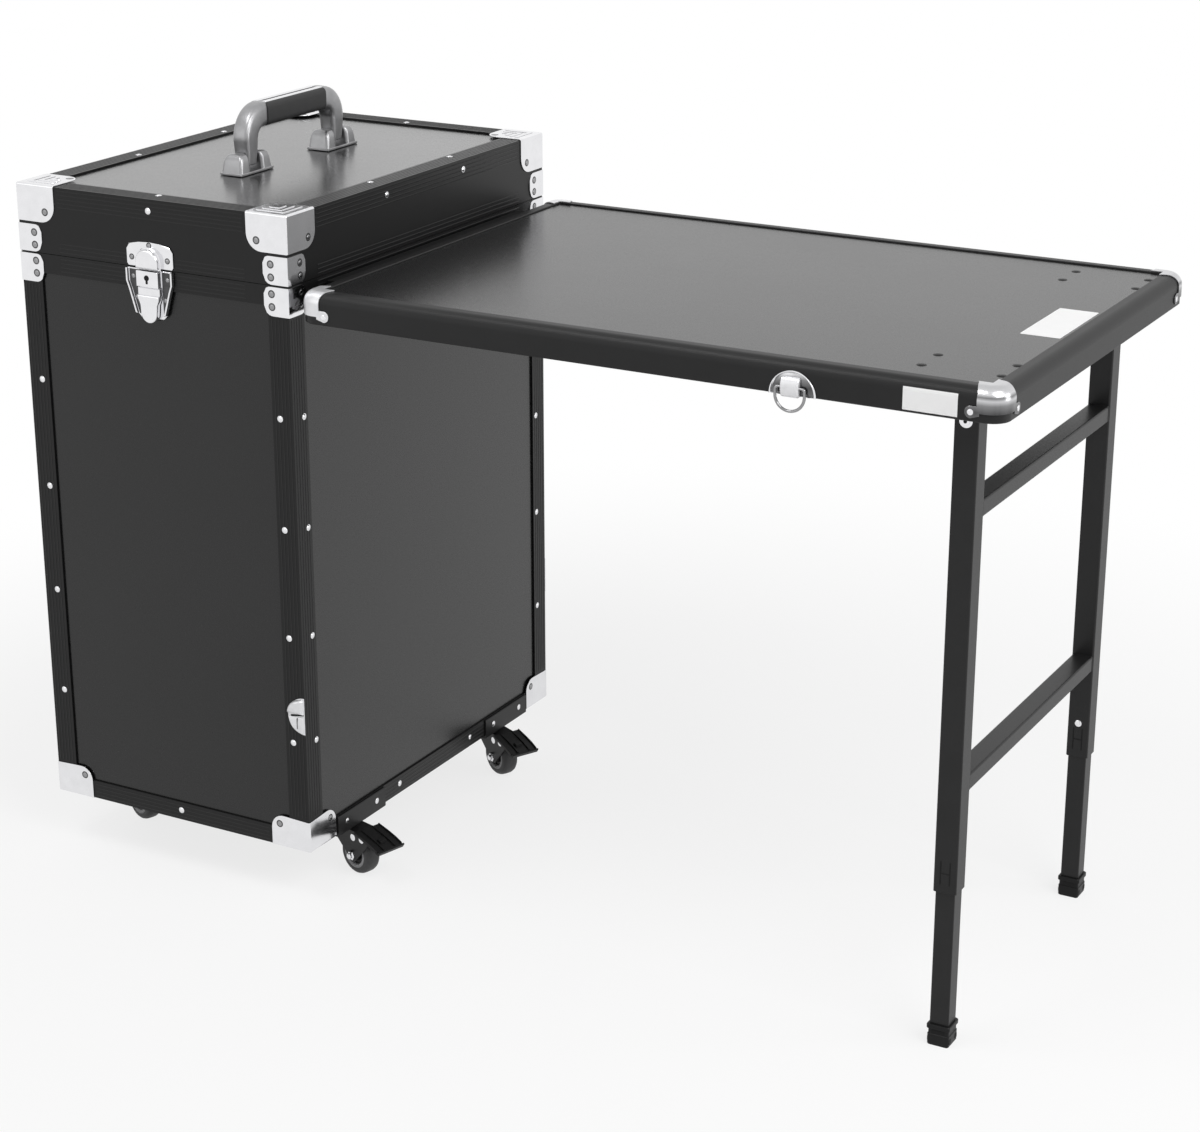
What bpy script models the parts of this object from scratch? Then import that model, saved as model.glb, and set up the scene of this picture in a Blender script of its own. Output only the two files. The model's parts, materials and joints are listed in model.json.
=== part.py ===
"""Rolling salon case with a hinged lid and a hook-on table on folding, telescoping legs.

Metres, +Z up. X runs from the case to the table's far end, Y from the front to the back.
The origin lies on the floor, under the middle of the whole object.
"""

import math

import bmesh
import bpy
from mathutils import Matrix, Vector

# Fits
GAP = 0.0003
RUNNING_GAP = 0.0004

# Casters
WHEEL_RADIUS = 0.025
WHEEL_WIDTH = 0.020
WHEEL_TRAIL = 0.029
TYRE_CROWN = 0.0045
HUB_RADIUS = 0.0085
HUB_RECESS = 0.004
HUB_SETBACK = 0.0005
DISC_DRAFT = 0.001
WHEEL_DISC_RADIUS = 0.017
AXLE_RADIUS = 0.0035
AXLE_END = 0.004
FORK_SHEET = 0.002
FORK_SIDE_CLEARANCE = 0.001
FORK_ROOF_CLEARANCE = 0.0044
FORK_REACH = 0.056
FORK_BOSS_RADIUS = 0.008
FORK_NOSE = 0.0095
FORK_NOSE_DEPTH = 0.005
FORK_TAIL_DEPTH = 0.013
RACE_RADIUS = 0.016
RACE_HEIGHT = 0.003
KINGPIN_RADIUS = 0.004
KINGPIN_HEAD_RADIUS = 0.007
KINGPIN_HEAD = 0.0017
CASTER_PLATE = 0.003
CASTER_PLATE_LENGTH = 0.098
CASTER_PLATE_WIDTH = 0.055
CASTER_FLANGE = 0.0025
CASTER_FLANGE_RISE = 0.021
CASTER_INSET = 0.024
CASTER_TURNS = {
    "front_right": -16.0,
    "rear_right": -26.0,
    "front_left": -20.0,
    "rear_left": -12.0,
}
PEDAL_PIVOT = 0.046
PEDAL_PIN_RADIUS = 0.002
PEDAL_ARM = 0.004
PEDAL_SHEET = 0.0026
PEDAL_WIDTH = 0.038
PEDAL_REACH = 0.038
PEDAL_FALL = 0.006
PEDAL_LIP = 0.003
PEDAL_ROOF_GAP = 0.003
PEDAL_SIDE_GAP = 0.0005
PEDAL_FORK_GAP = 0.0015
PEDAL_HEEL = 0.003
PEDAL_PIN_END = 0.001

# Case
CASE_WIDTH = 0.360
CASE_DEPTH = 0.532
BOX_HEIGHT = 0.730
LID_HEIGHT = 0.076
LID_SEAM = 0.0006
EDGE_WIDTH = 0.027
EDGE_WALL = 0.002
BASE_RAIL_HEIGHT = 0.022
RIM_BAND_HEIGHT = 0.022
PANEL_THICKNESS = 0.005

# Corner caps
CAP_SHEET = 0.0015
CAP_REACH = 0.051
LID_CAP_HEIGHT = 0.041
BASE_CAP_HEIGHT = 0.038
CAP_LOBE_RADIUS = 0.015
CAP_EDGE_RADIUS = 0.002
CAP_TO_CASTER_PLATE = 0.003

# Lid hinge
HINGE_INSET = 0.080
HINGE_KNUCKLES = 5
HINGE_LEAF = 0.0015
HINGE_LEAF_HEIGHT = 0.018
HINGE_KNUCKLE_RADIUS = 0.004
HINGE_KNUCKLE_GAP = 0.0005
HINGE_PIN_RADIUS = 0.002
HINGE_TANG = 0.0035
HINGE_SEAM = 0.0008

# Draw latch
LATCH_WIDTH = 0.062
LATCH_FOOT_WIDTH = 0.040
LATCH_SHEET = 0.002
LATCH_BASE_HEIGHT = 0.054
LATCH_STRIKE_HEIGHT = 0.028
LATCH_SEAM = 0.001
LATCH_NOSE_WIDTH = 0.027
LATCH_NOSE_DEPTH = 0.007
LATCH_NOSE_HEIGHT = 0.022
LOCK_BLOCK_HEIGHT = 0.017
LEVER_LENGTH = 0.037
LEVER_SHEET = 0.003
LEVER_BARREL_RADIUS = 0.0025
LEVER_PIN_RADIUS = 0.0012
LEVER_EAR = 0.0025
LEVER_SIDE_GAP = 0.0006
LEVER_TOP_GAP = 0.002

# Carry handle
HANDLE_SPAN = 0.170
HANDLE_HEIGHT = 0.062
HANDLE_BEND_RADIUS = 0.026
HANDLE_LEG_WIDTH = 0.027
HANDLE_LEG_DEPTH = 0.022
HANDLE_CORE = 0.016
HANDLE_PIVOT_HEIGHT = 0.017
HANDLE_LEG_END = 0.0085
HANDLE_PIN_RADIUS = 0.0025
HANDLE_PIN_GRIP = 0.004
GRIP_LENGTH = 0.116
GRIP_THICKNESS = 0.027
GRIP_EDGE_RADIUS = 0.005
FOOT_PLATE_LENGTH = 0.062
FOOT_PLATE_WIDTH = 0.030
FOOT_PLATE_SHEET = 0.0025
FOOT_HUMP_HEIGHT = 0.023
FOOT_HUMP_RADIUS = 0.009
FOOT_SIDE_GAP = 0.0006

# Table
TABLE_GAP = 0.014
TABLE_LENGTH = 0.787
TABLE_OVERHANG = 0.004
TABLE_DROP = 0.0015
TABLE_THICKNESS = 0.033
RIM_WIDTH = 0.020
RIM_WALL = 0.004
RIM_LIP = 0.002
RIM_TOP_RADIUS = 0.012
RIM_CORNER_RADIUS = 0.020
HOLLOW_CORNER_RADIUS = 0.002
BOARD_THICKNESS = 0.0095
BOARD_INSET = 0.009
BOARD_FIELD_RISE = 0.0005
TABLE_CAP_REACH = 0.046
TABLE_CAP_SKIRT = 0.009
TABLE_CAP_SHEET = 0.0015
TABLE_CAP_LOBE_RADIUS = 0.008
HOOK_INSET = 0.066
HOOK_SHEET = 0.002
HOOK_WEB = 0.003
HOOK_DROP = 0.0083
HOOK_STANDOFF = 0.003
KEEPER_LIP_OFFSET = 0.007
KEEPER_LIP_RISE = 0.012
KEEPER_UNDER_RIM = 0.0085

# Turn latches
DISH_RADIUS = 0.025
DISH_SHEET = 0.003
TURN_LATCH_FROM_END = 0.214
CORE_RADIUS = 0.008
CORE_HEIGHT = 0.0065
CORE_RISE = 0.0095
RING_WIRE_RADIUS = 0.0015
RING_BOW_RADIUS = 0.0155
RING_STRAIGHT = 0.008
RING_HOLE_GAP = 0.0005
CATCH_RADIUS = 0.022
CATCH_HEIGHT = 0.1655

# Legs
LEG_TUBE = 0.025
LEG_WALL = 0.0015
LEG_SETBACK = 0.041
LEG_FRONT_INSET = 0.044
LEG_REAR_INSET = 0.081
LEG_PIVOT_DROP = 0.0135
LEG_TOP_RISE = 0.016
LEG_PIN_RADIUS = 0.004
LEG_BOLT_HEAD = 0.003
LEG_BOLT_HEAD_RADIUS = 0.007
OUTER_TUBE_REACH = 0.495
CROSSBAR_HEIGHT = 0.018
CROSSBAR_DEPTH = 0.023
UPPER_CROSSBAR_DROP = 0.093
LOWER_CROSSBAR_DROP = 0.381
LEG_SLIDE_GAP = 0.0005
INNER_WALL = 0.0015
INNER_OVERLAP = 0.120
BUTTON_RADIUS = 0.004
BUTTON_STROKE = 0.0013
BUTTON_RISE = 0.041
HOLE_PITCH = 0.025
HOLE_COUNT = 3
SHOE_HEIGHT = 0.024
SHOE_WALL = 0.0012
SHOE_EXTRA_DEPTH = 0.001
SHOE_SOLE = 0.013
SHOE_FLANGE = 0.005
SHOE_FLANGE_LIP = 0.00075
SHOE_WAIST = 0.0004
SHOE_FLOOR = 0.004
BRACKET_SHEET = 0.003
BRACKET_LENGTH = 0.100
BRACKET_WIDTH = 0.055
BRACKET_EAR_WIDTH = 0.024
BRACKET_EAR_BELOW = 0.010
BRACKET_EAR_FROM_EDGE = 0.020

# Places that follow from the sizes above
OVERALL_LENGTH = CASE_WIDTH + TABLE_GAP + TABLE_LENGTH
CASE_LEFT = -OVERALL_LENGTH / 2
CASE_RIGHT = CASE_LEFT + CASE_WIDTH
CASE_MIDDLE = (CASE_LEFT + CASE_RIGHT) / 2
CASE_FRONT = -CASE_DEPTH / 2
CASE_REAR = CASE_DEPTH / 2
HINGE_LENGTH = CASE_WIDTH - 2 * HINGE_INSET
HOOK_LENGTH = CASE_DEPTH - 2 * HOOK_INSET
FORK_ROOF = 2 * WHEEL_RADIUS + FORK_ROOF_CLEARANCE
RACE_UNDERSIDE = FORK_ROOF + FORK_SHEET + GAP
PLATE_UNDERSIDE = RACE_UNDERSIDE + RACE_HEIGHT
BOX_BOTTOM = PLATE_UNDERSIDE + CASTER_PLATE + GAP
BOX_TOP = BOX_BOTTOM + BOX_HEIGHT
SPLIT = BOX_TOP - LID_HEIGHT
BODY_TOP = SPLIT - LID_SEAM / 2
LID_BOTTOM = SPLIT + LID_SEAM / 2
LID_PANEL_TOP = BOX_TOP - EDGE_WALL - GAP
PLATE_START = CAP_REACH + CAP_TO_CASTER_PLATE
CASTER_ROW = PLATE_START + CASTER_PLATE_LENGTH / 2
FORK_INSIDE = WHEEL_WIDTH / 2 + FORK_SIDE_CLEARANCE
FORK_OUTSIDE = FORK_INSIDE + FORK_SHEET
HINGE_Y = CASE_REAR + HINGE_LEAF + HINGE_KNUCKLE_GAP + HINGE_KNUCKLE_RADIUS
LATCH_FACE = CASE_FRONT - GAP
LEVER_AXIS_Z = SPLIT - LATCH_SEAM - LOCK_BLOCK_HEIGHT - LEVER_BARREL_RADIUS - LEVER_TOP_GAP
LEVER_AXIS_Y = LATCH_FACE - LATCH_SHEET - GAP - LEVER_BARREL_RADIUS
HANDLE_AXIS_Z = LID_PANEL_TOP + HANDLE_PIVOT_HEIGHT
HANDLE_CENTRE_Z = LID_PANEL_TOP + HANDLE_HEIGHT
TABLE_START = CASE_RIGHT + TABLE_GAP
TABLE_END = TABLE_START + TABLE_LENGTH
TABLE_HALF = CASE_DEPTH / 2 + TABLE_OVERHANG
TABLE_TOP = SPLIT - TABLE_DROP
TABLE_BOTTOM = TABLE_TOP - TABLE_THICKNESS
BOARD_TONGUE_TOP = TABLE_TOP - RIM_LIP - GAP
BOARD_TOP = BOARD_TONGUE_TOP + BOARD_FIELD_RISE
BOARD_BOTTOM = BOARD_TOP - BOARD_THICKNESS
TURN_LATCH_X = TABLE_END - TURN_LATCH_FROM_END
DISH_FACE = TABLE_HALF + GAP + DISH_SHEET
CORE_Z = TABLE_BOTTOM + CORE_RISE
RING_Y = DISH_FACE + GAP + CORE_HEIGHT / 2
LEG_X = TABLE_END - LEG_SETBACK - LEG_TUBE / 2
LEG_ROWS = {
    "front": -TABLE_HALF + LEG_FRONT_INSET + LEG_TUBE / 2,
    "rear": TABLE_HALF - LEG_REAR_INSET - LEG_TUBE / 2,
}
LEG_PIVOT_Z = TABLE_BOTTOM - LEG_PIVOT_DROP
INNER_TUBE = LEG_TUBE - 2 * (LEG_WALL + LEG_SLIDE_GAP)
SHOE_WIDTH = INNER_TUBE + 2 * (GAP + SHOE_WALL)
SHOE_DEPTH = SHOE_WIDTH + SHOE_EXTRA_DEPTH
OUTER_TUBE_BOTTOM = LEG_PIVOT_Z - OUTER_TUBE_REACH
BUTTON_Z = OUTER_TUBE_BOTTOM + BUTTON_RISE

# Colour, roughness and metallic value of each finish
FINISHES = {
    "black_profile": ((0.018, 0.018, 0.020), 0.42, 0.6),
    "black_board": ((0.040, 0.040, 0.042), 0.55, 0.0),
    "bright_steel": ((0.78, 0.78, 0.79), 0.22, 1.0),
    "handle_metal": ((0.42, 0.42, 0.43), 0.35, 0.9),
    "black_rubber": ((0.025, 0.025, 0.026), 0.65, 0.0),
    "black_paint": ((0.030, 0.030, 0.032), 0.45, 0.3),
    "black_plastic": ((0.028, 0.028, 0.030), 0.50, 0.0),
    "wheel_grey": ((0.055, 0.055, 0.058), 0.55, 0.0),
}


def clear_scene():
    for obj in list(bpy.data.objects):
        bpy.data.objects.remove(obj)


def link(bm):
    """A new object in the scene that holds the shape in bm, with its faces turned outwards."""
    bmesh.ops.recalc_face_normals(bm, faces=bm.faces)
    if bm.calc_volume(signed=True) < 0:
        bmesh.ops.reverse_faces(bm, faces=bm.faces)
    mesh = bpy.data.meshes.new("shape")
    bm.to_mesh(mesh)
    bm.free()
    obj = bpy.data.objects.new("shape", mesh)
    bpy.context.scene.collection.objects.link(obj)
    return obj


def block(low, high, *roundings):
    """A box. Each rounding gives the edges to round, the radius and the number of steps."""
    bm = bmesh.new()
    bmesh.ops.create_cube(bm, size=1.0)
    low, high = Vector(low), Vector(high)
    for vert in bm.verts:
        vert.co = Vector(high[i] if vert.co[i] > 0 else low[i] for i in range(3))
    for picks, radius, steps in roundings:
        edges = [edge for edge in bm.edges for pick in picks if edge_matches(edge, low, high, pick)]
        bmesh.ops.bevel(bm, geom=edges, offset=radius, segments=steps, profile=0.5, affect="EDGES")
    return link(bm)


def edge_matches(edge, low, high, pick):
    """True where the edge lies at the corner that pick gives: -1, 0 along the edge, or 1 for x, y and z."""
    for i, side in enumerate(pick):
        ends = [vert.co[i] for vert in edge.verts]
        target = high[i] if side > 0 else low[i]
        if side == 0 and abs(ends[0] - ends[1]) < 1e-9:
            return False
        if side != 0 and any(abs(end - target) > 1e-9 for end in ends):
            return False
    return True


def stack(loops):
    """A closed solid through loops of equal length, with flat ends."""
    bm = bmesh.new()
    rows = [[bm.verts.new(point) for point in loop] for loop in loops]
    count = len(rows[0])
    for lower, upper in zip(rows, rows[1:]):
        for i in range(count):
            j = (i + 1) % count
            bm.faces.new((lower[i], lower[j], upper[j], upper[i]))
    bm.faces.new(rows[0])
    bm.faces.new(rows[-1])
    return link(bm)


def ring_of(loops):
    """A closed solid through loops that come back to the first one."""
    bm = bmesh.new()
    rows = [[bm.verts.new(point) for point in loop] for loop in loops]
    count = len(rows[0])
    for k, row in enumerate(rows):
        following = rows[(k + 1) % len(rows)]
        for i in range(count):
            j = (i + 1) % count
            bm.faces.new((row[i], row[j], following[j], following[i]))
    return link(bm)


def prism(outline, axis, start, end):
    """The outline drawn in the plane across axis, pushed from start to end along it."""
    order = {"x": lambda a, b, c: (c, a, b), "y": lambda a, b, c: (a, c, b), "z": lambda a, b, c: (a, b, c)}
    place = order[axis]
    return stack([[place(a, b, depth) for a, b in outline] for depth in (start, end)])


def arc(centre, radius, first, last, steps):
    """Points of an arc from the first to the last angle, in degrees."""
    points = []
    for k in range(steps + 1):
        angle = math.radians(first + (last - first) * k / steps)
        points.append((centre[0] + radius * math.cos(angle), centre[1] + radius * math.sin(angle)))
    return points


def rod(axis, centre, radius, start, end, sides=16):
    """A round bar along axis, from start to end, about the centre in the plane across it."""
    circle = arc(centre, radius, 0, 360, sides)[:-1]
    return prism(circle, axis, start, end)


def rounded_outline(low, high, radius, steps=4):
    """The corners of a rectangle, each rounded to the radius."""
    corners = (
        (high[0] - radius, high[1] - radius, 0),
        (low[0] + radius, high[1] - radius, 90),
        (low[0] + radius, low[1] + radius, 180),
        (high[0] - radius, low[1] + radius, 270),
    )
    points = []
    for x, y, turn in corners:
        points += arc((x, y), radius, turn, turn + 90, steps)
    return points


def slab(low, high, corner_radius, top_radius=0.0, steps=4):
    """A plate with rounded corners and, where asked, a rounded upper edge."""
    loops = [[(x, y, low[2]) for x, y in rounded_outline(low, high, corner_radius)]]
    if top_radius == 0.0:
        loops.append([(x, y, high[2]) for x, y in rounded_outline(low, high, corner_radius)])
        return stack(loops)
    for k in range(steps + 1):
        angle = math.radians(90 * k / steps)
        inset = top_radius * (1 - math.cos(angle))
        z = high[2] - top_radius * (1 - math.sin(angle))
        inner_low = (low[0] + inset, low[1] + inset)
        inner_high = (high[0] - inset, high[1] - inset)
        outline = rounded_outline(inner_low, inner_high, corner_radius - inset)
        loops.append([(x, y, z) for x, y in outline])
    return stack(loops)


def boolean(target, tool, operation):
    """Joins the tool to the target, cuts it out, or keeps what they share. The tool is used up."""
    modifier = target.modifiers.new(operation, "BOOLEAN")
    modifier.operation = operation
    modifier.object = tool
    graph = bpy.context.evaluated_depsgraph_get()
    target.data = bpy.data.meshes.new_from_object(target.evaluated_get(graph))
    target.modifiers.remove(modifier)
    bpy.data.objects.remove(tool)
    return target


def together(first, *others):
    """Puts shapes that don't touch into one object, to cut with."""
    bm = bmesh.new()
    for obj in (first, *others):
        bm.from_mesh(obj.data)
    bm.to_mesh(first.data)
    bm.free()
    for obj in others:
        bpy.data.objects.remove(obj)
    return first


def join(target, *tools):
    for tool in tools:
        boolean(target, tool, "UNION")
    return target


def cut(target, *tools):
    for tool in tools:
        boolean(target, tool, "DIFFERENCE")
    return target


def piece(name, obj, finish, pivot=None, smooth=False):
    """Names a finished solid, gives it its material and hangs it from its pivot."""
    obj.name = name
    obj.data.name = name
    colour, roughness, metallic = FINISHES[finish]
    material = bpy.data.materials.new(name)
    material.use_nodes = True
    shader = material.node_tree.nodes["Principled BSDF"]
    shader.inputs["Base Color"].default_value = (*colour, 1.0)
    shader.inputs["Roughness"].default_value = roughness
    shader.inputs["Metallic"].default_value = metallic
    obj.data.materials.clear()
    obj.data.materials.append(material)
    if smooth:
        obj.data.shade_smooth()
        obj.data.set_sharp_from_angle(angle=math.radians(35))
    if pivot is not None:
        obj.data.transform(Matrix.Translation(-pivot.location))
        obj.parent = pivot
    return obj


def pivot_at(name, location, turn=0.0, parent=None):
    """An empty on a joint's axis."""
    empty = bpy.data.objects.new(name, None)
    empty.location = location
    empty.rotation_euler = (0.0, 0.0, math.radians(turn))
    empty.parent = parent
    bpy.context.scene.collection.objects.link(empty)
    return empty


def corner_cap(corner, inward, reach):
    """A pressed steel cap round one corner of the case."""
    corner, inward = Vector(corner), Vector(inward)
    outside = corner - inward * (GAP + CAP_SHEET)
    far = corner + Vector(inward[i] * reach[i] for i in range(3))
    low = [min(outside[i], far[i]) for i in range(3)]
    high = [max(outside[i], far[i]) for i in range(3)]
    lobes = [tuple(0 if i == along else inward[i] for i in range(3)) for along in range(3)]
    edges = [tuple(0 if i == along else -inward[i] for i in range(3)) for along in range(3)]
    cap = block(low, high, (lobes, CAP_LOBE_RADIUS, 4), (edges, CAP_EDGE_RADIUS, 2))
    inside = corner - inward * GAP
    beyond = corner + inward
    hollow_low = [min(inside[i], beyond[i]) for i in range(3)]
    hollow_high = [max(inside[i], beyond[i]) for i in range(3)]
    return cut(cap, block(hollow_low, hollow_high))


def corners():
    """Name, x, y and inward directions of the case's four corners."""
    for x_name, x, x_in in (("left", CASE_LEFT, 1), ("right", CASE_RIGHT, -1)):
        for y_name, y, y_in in (("front", CASE_FRONT, 1), ("rear", CASE_REAR, -1)):
            yield f"{y_name}_{x_name}", x, y, x_in, y_in


def hinge_knuckles(first, z_side):
    """Leaf, tangs and knuckles of one half of the lid hinge: below the split for -1, above it for 1."""
    left = CASE_MIDDLE - HINGE_LENGTH / 2
    right = CASE_MIDDLE + HINGE_LENGTH / 2
    near, far = sorted((SPLIT + z_side * HINGE_SEAM, SPLIT + z_side * HINGE_LEAF_HEIGHT))
    half = block((left, CASE_REAR - EDGE_WALL / 2, near), (right, CASE_REAR + HINGE_LEAF, far))
    pitch = HINGE_LENGTH / HINGE_KNUCKLES
    for k in range(first, HINGE_KNUCKLES, 2):
        start = left + k * pitch + GAP
        end = left + (k + 1) * pitch - GAP
        low, high = sorted((SPLIT + z_side * HINGE_SEAM * 1.2, SPLIT + z_side * HINGE_TANG))
        tang = block((start, CASE_REAR + HINGE_LEAF / 2, low), (end, HINGE_Y, high))
        join(half, tang, rod("x", (HINGE_Y, SPLIT), HINGE_KNUCKLE_RADIUS, start, end, 12))
    return half


def make_body_frame():
    low = Vector((CASE_LEFT, CASE_FRONT, BOX_BOTTOM))
    high = Vector((CASE_RIGHT, CASE_REAR, BODY_TOP))
    wall = Vector((EDGE_WALL, EDGE_WALL, EDGE_WALL))
    frame = block(low, high)
    above = Vector((0, 0, LID_HEIGHT))
    cut(frame, block(low + wall, high - Vector((EDGE_WALL, EDGE_WALL, 0)) + above))
    window_low = BOX_BOTTOM + BASE_RAIL_HEIGHT
    window_high = BODY_TOP - RIM_BAND_HEIGHT
    out = 2 * EDGE_WALL
    cut(
        frame,
        block(
            (CASE_LEFT - out, CASE_FRONT + EDGE_WIDTH, window_low),
            (CASE_RIGHT + out, CASE_REAR - EDGE_WIDTH, window_high),
        ),
        block(
            (CASE_LEFT + EDGE_WIDTH, CASE_FRONT - out, window_low),
            (CASE_RIGHT - EDGE_WIDTH, CASE_REAR + out, window_high),
        ),
        block(
            (CASE_LEFT + EDGE_WIDTH, CASE_FRONT + EDGE_WIDTH, BOX_BOTTOM - out),
            (CASE_RIGHT - EDGE_WIDTH, CASE_REAR - EDGE_WIDTH, window_low),
        ),
    )
    left = CASE_MIDDLE - HINGE_LENGTH / 2
    pin = rod("x", (HINGE_Y, SPLIT), HINGE_PIN_RADIUS, left + GAP, left + HINGE_LENGTH - GAP, 12)
    join(frame, join(hinge_knuckles(0, -1), pin), table_keeper())
    piece("body_frame", frame, "black_profile")


def table_keeper():
    """The up-turned channel on the rim that the table's hook drops into."""
    ledge_top = hook_web_bottom() - GAP - KEEPER_LIP_RISE
    inside = CASE_RIGHT - EDGE_WALL / 2
    lip = CASE_RIGHT + KEEPER_LIP_OFFSET
    outline = [
        (inside, ledge_top - HOOK_SHEET),
        (lip + HOOK_SHEET, ledge_top - HOOK_SHEET),
        (lip + HOOK_SHEET, ledge_top + KEEPER_LIP_RISE),
        (lip, ledge_top + KEEPER_LIP_RISE),
        (lip, ledge_top),
        (inside, ledge_top),
    ]
    return prism(outline, "y", -HOOK_LENGTH / 2, HOOK_LENGTH / 2)


def hook_web_bottom():
    return SPLIT - KEEPER_UNDER_RIM


def make_panels():
    inside = EDGE_WALL + GAP
    left, right = CASE_LEFT + inside, CASE_RIGHT - inside
    front, rear = CASE_FRONT + inside, CASE_REAR - inside
    floor = BOX_BOTTOM + inside
    floor_top = floor + PANEL_THICKNESS
    foot = floor_top + GAP
    top = BODY_TOP - GAP
    side = PANEL_THICKNESS + GAP
    piece("base_panel", block((left, front, floor), (right, rear, floor_top)), "black_board")
    piece("front_panel", block((left, front, foot), (right, front + PANEL_THICKNESS, top)), "black_board")
    piece("rear_panel", block((left, rear - PANEL_THICKNESS, foot), (right, rear, top)), "black_board")
    for name, start in (("left_panel", left), ("right_panel", right - PANEL_THICKNESS)):
        panel = block((start, front + side, foot), (start + PANEL_THICKNESS, rear - side, top))
        piece(name, panel, "black_board")


def make_base_caps():
    for name, x, y, x_in, y_in in corners():
        cap = corner_cap((x, y, BOX_BOTTOM), (x_in, y_in, 1), (CAP_REACH, CAP_REACH, BASE_CAP_HEIGHT))
        piece(f"base_cap_{name}", cap, "bright_steel", smooth=True)


def make_lid():
    pivot = pivot_at("lid_axis", (CASE_MIDDLE, HINGE_Y, SPLIT))
    low = Vector((CASE_LEFT, CASE_FRONT, LID_BOTTOM))
    high = Vector((CASE_RIGHT, CASE_REAR, BOX_TOP))
    wall = Vector((EDGE_WALL, EDGE_WALL, 0))
    frame = block(low, high)
    below = Vector((0, 0, LID_HEIGHT))
    cut(frame, block(low + wall - below, high - wall - Vector((0, 0, EDGE_WALL))))
    cut(
        frame,
        block(
            (CASE_LEFT + EDGE_WIDTH, CASE_FRONT + EDGE_WIDTH, BOX_TOP - LID_HEIGHT / 2),
            (CASE_RIGHT - EDGE_WIDTH, CASE_REAR - EDGE_WIDTH, BOX_TOP + LID_HEIGHT),
        ),
    )
    knuckles = hinge_knuckles(1, 1)
    bore = HINGE_PIN_RADIUS + 2 * RUNNING_GAP
    cut(knuckles, rod("x", (HINGE_Y, SPLIT), bore, CASE_LEFT, CASE_RIGHT, 12))
    piece("lid_frame", join(frame, knuckles), "black_profile", pivot)
    inside = EDGE_WALL + GAP
    panel = block(
        (CASE_LEFT + inside, CASE_FRONT + inside, LID_PANEL_TOP - PANEL_THICKNESS),
        (CASE_RIGHT - inside, CASE_REAR - inside, LID_PANEL_TOP),
    )
    piece("lid_panel", panel, "black_board", pivot)
    for name, x, y, x_in, y_in in corners():
        cap = corner_cap((x, y, BOX_TOP), (x_in, y_in, -1), (CAP_REACH, CAP_REACH, LID_CAP_HEIGHT))
        piece(f"lid_cap_{name}", cap, "bright_steel", pivot, smooth=True)
    make_strike(pivot)
    make_handle_feet(pivot)
    make_handle(pivot)


def make_strike(pivot):
    """The lid's half of the draw latch: a plate with an arched top and a raised nose."""
    half = LATCH_WIDTH / 2
    low = SPLIT + LATCH_SEAM
    shoulder = low + LATCH_STRIKE_HEIGHT * 0.72
    rise = LATCH_STRIKE_HEIGHT * 0.28
    outline = [(CASE_MIDDLE - half, low), (CASE_MIDDLE + half, low)]
    for k in range(9):
        angle = math.radians(180 * k / 8)
        outline.append((CASE_MIDDLE + half * math.cos(angle), shoulder + rise * math.sin(angle)))
    plate = prism(outline, "y", LATCH_FACE - LATCH_SHEET, LATCH_FACE)
    radius = LATCH_NOSE_WIDTH / 2
    arch = arc((CASE_MIDDLE, low + LATCH_NOSE_HEIGHT - radius), radius, 0, 180, 8)
    nose = [(CASE_MIDDLE - radius, low), (CASE_MIDDLE + radius, low)] + arch
    face = LATCH_FACE - LATCH_SHEET
    join(plate, prism(nose, "y", face - LATCH_NOSE_DEPTH, face + LATCH_SHEET / 2))
    piece("latch_strike", plate, "bright_steel", pivot)


def make_latch_base():
    """The body's half of the draw latch: a plate, the lock block and the lever's ears and pin."""
    half = LATCH_WIDTH / 2
    foot = LATCH_FOOT_WIDTH / 2
    top = SPLIT - LATCH_SEAM
    bottom = top - LATCH_BASE_HEIGHT
    waist = top - LATCH_BASE_HEIGHT * 0.55
    outline = [
        (CASE_MIDDLE - half, top),
        (CASE_MIDDLE - half, waist),
        (CASE_MIDDLE - foot, bottom),
        (CASE_MIDDLE + foot, bottom),
        (CASE_MIDDLE + half, waist),
        (CASE_MIDDLE + half, top),
    ]
    face = LATCH_FACE - LATCH_SHEET
    base = prism(outline, "y", face, LATCH_FACE)
    nose = LATCH_NOSE_WIDTH / 2
    lock = block(
        (CASE_MIDDLE - nose, face - LATCH_NOSE_DEPTH, top - LOCK_BLOCK_HEIGHT),
        (CASE_MIDDLE + nose, face + LATCH_SHEET / 2, top),
    )
    join(base, lock)
    ear_start = nose + LEVER_SIDE_GAP
    for side in (-1, 1):
        x_low, x_high = sorted((side * ear_start, side * (ear_start + LEVER_EAR)))
        ear = block(
            (CASE_MIDDLE + x_low, LEVER_AXIS_Y - LEVER_BARREL_RADIUS, LEVER_AXIS_Z - LEVER_BARREL_RADIUS),
            (CASE_MIDDLE + x_high, face + LATCH_SHEET / 2, LEVER_AXIS_Z + LEVER_BARREL_RADIUS),
        )
        join(base, ear)
    reach = ear_start + LEVER_EAR / 2
    ends = (CASE_MIDDLE - reach, CASE_MIDDLE + reach)
    pin = rod("x", (LEVER_AXIS_Y, LEVER_AXIS_Z), LEVER_PIN_RADIUS, *ends, 10)
    piece("latch_base", join(base, pin), "bright_steel")


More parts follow.
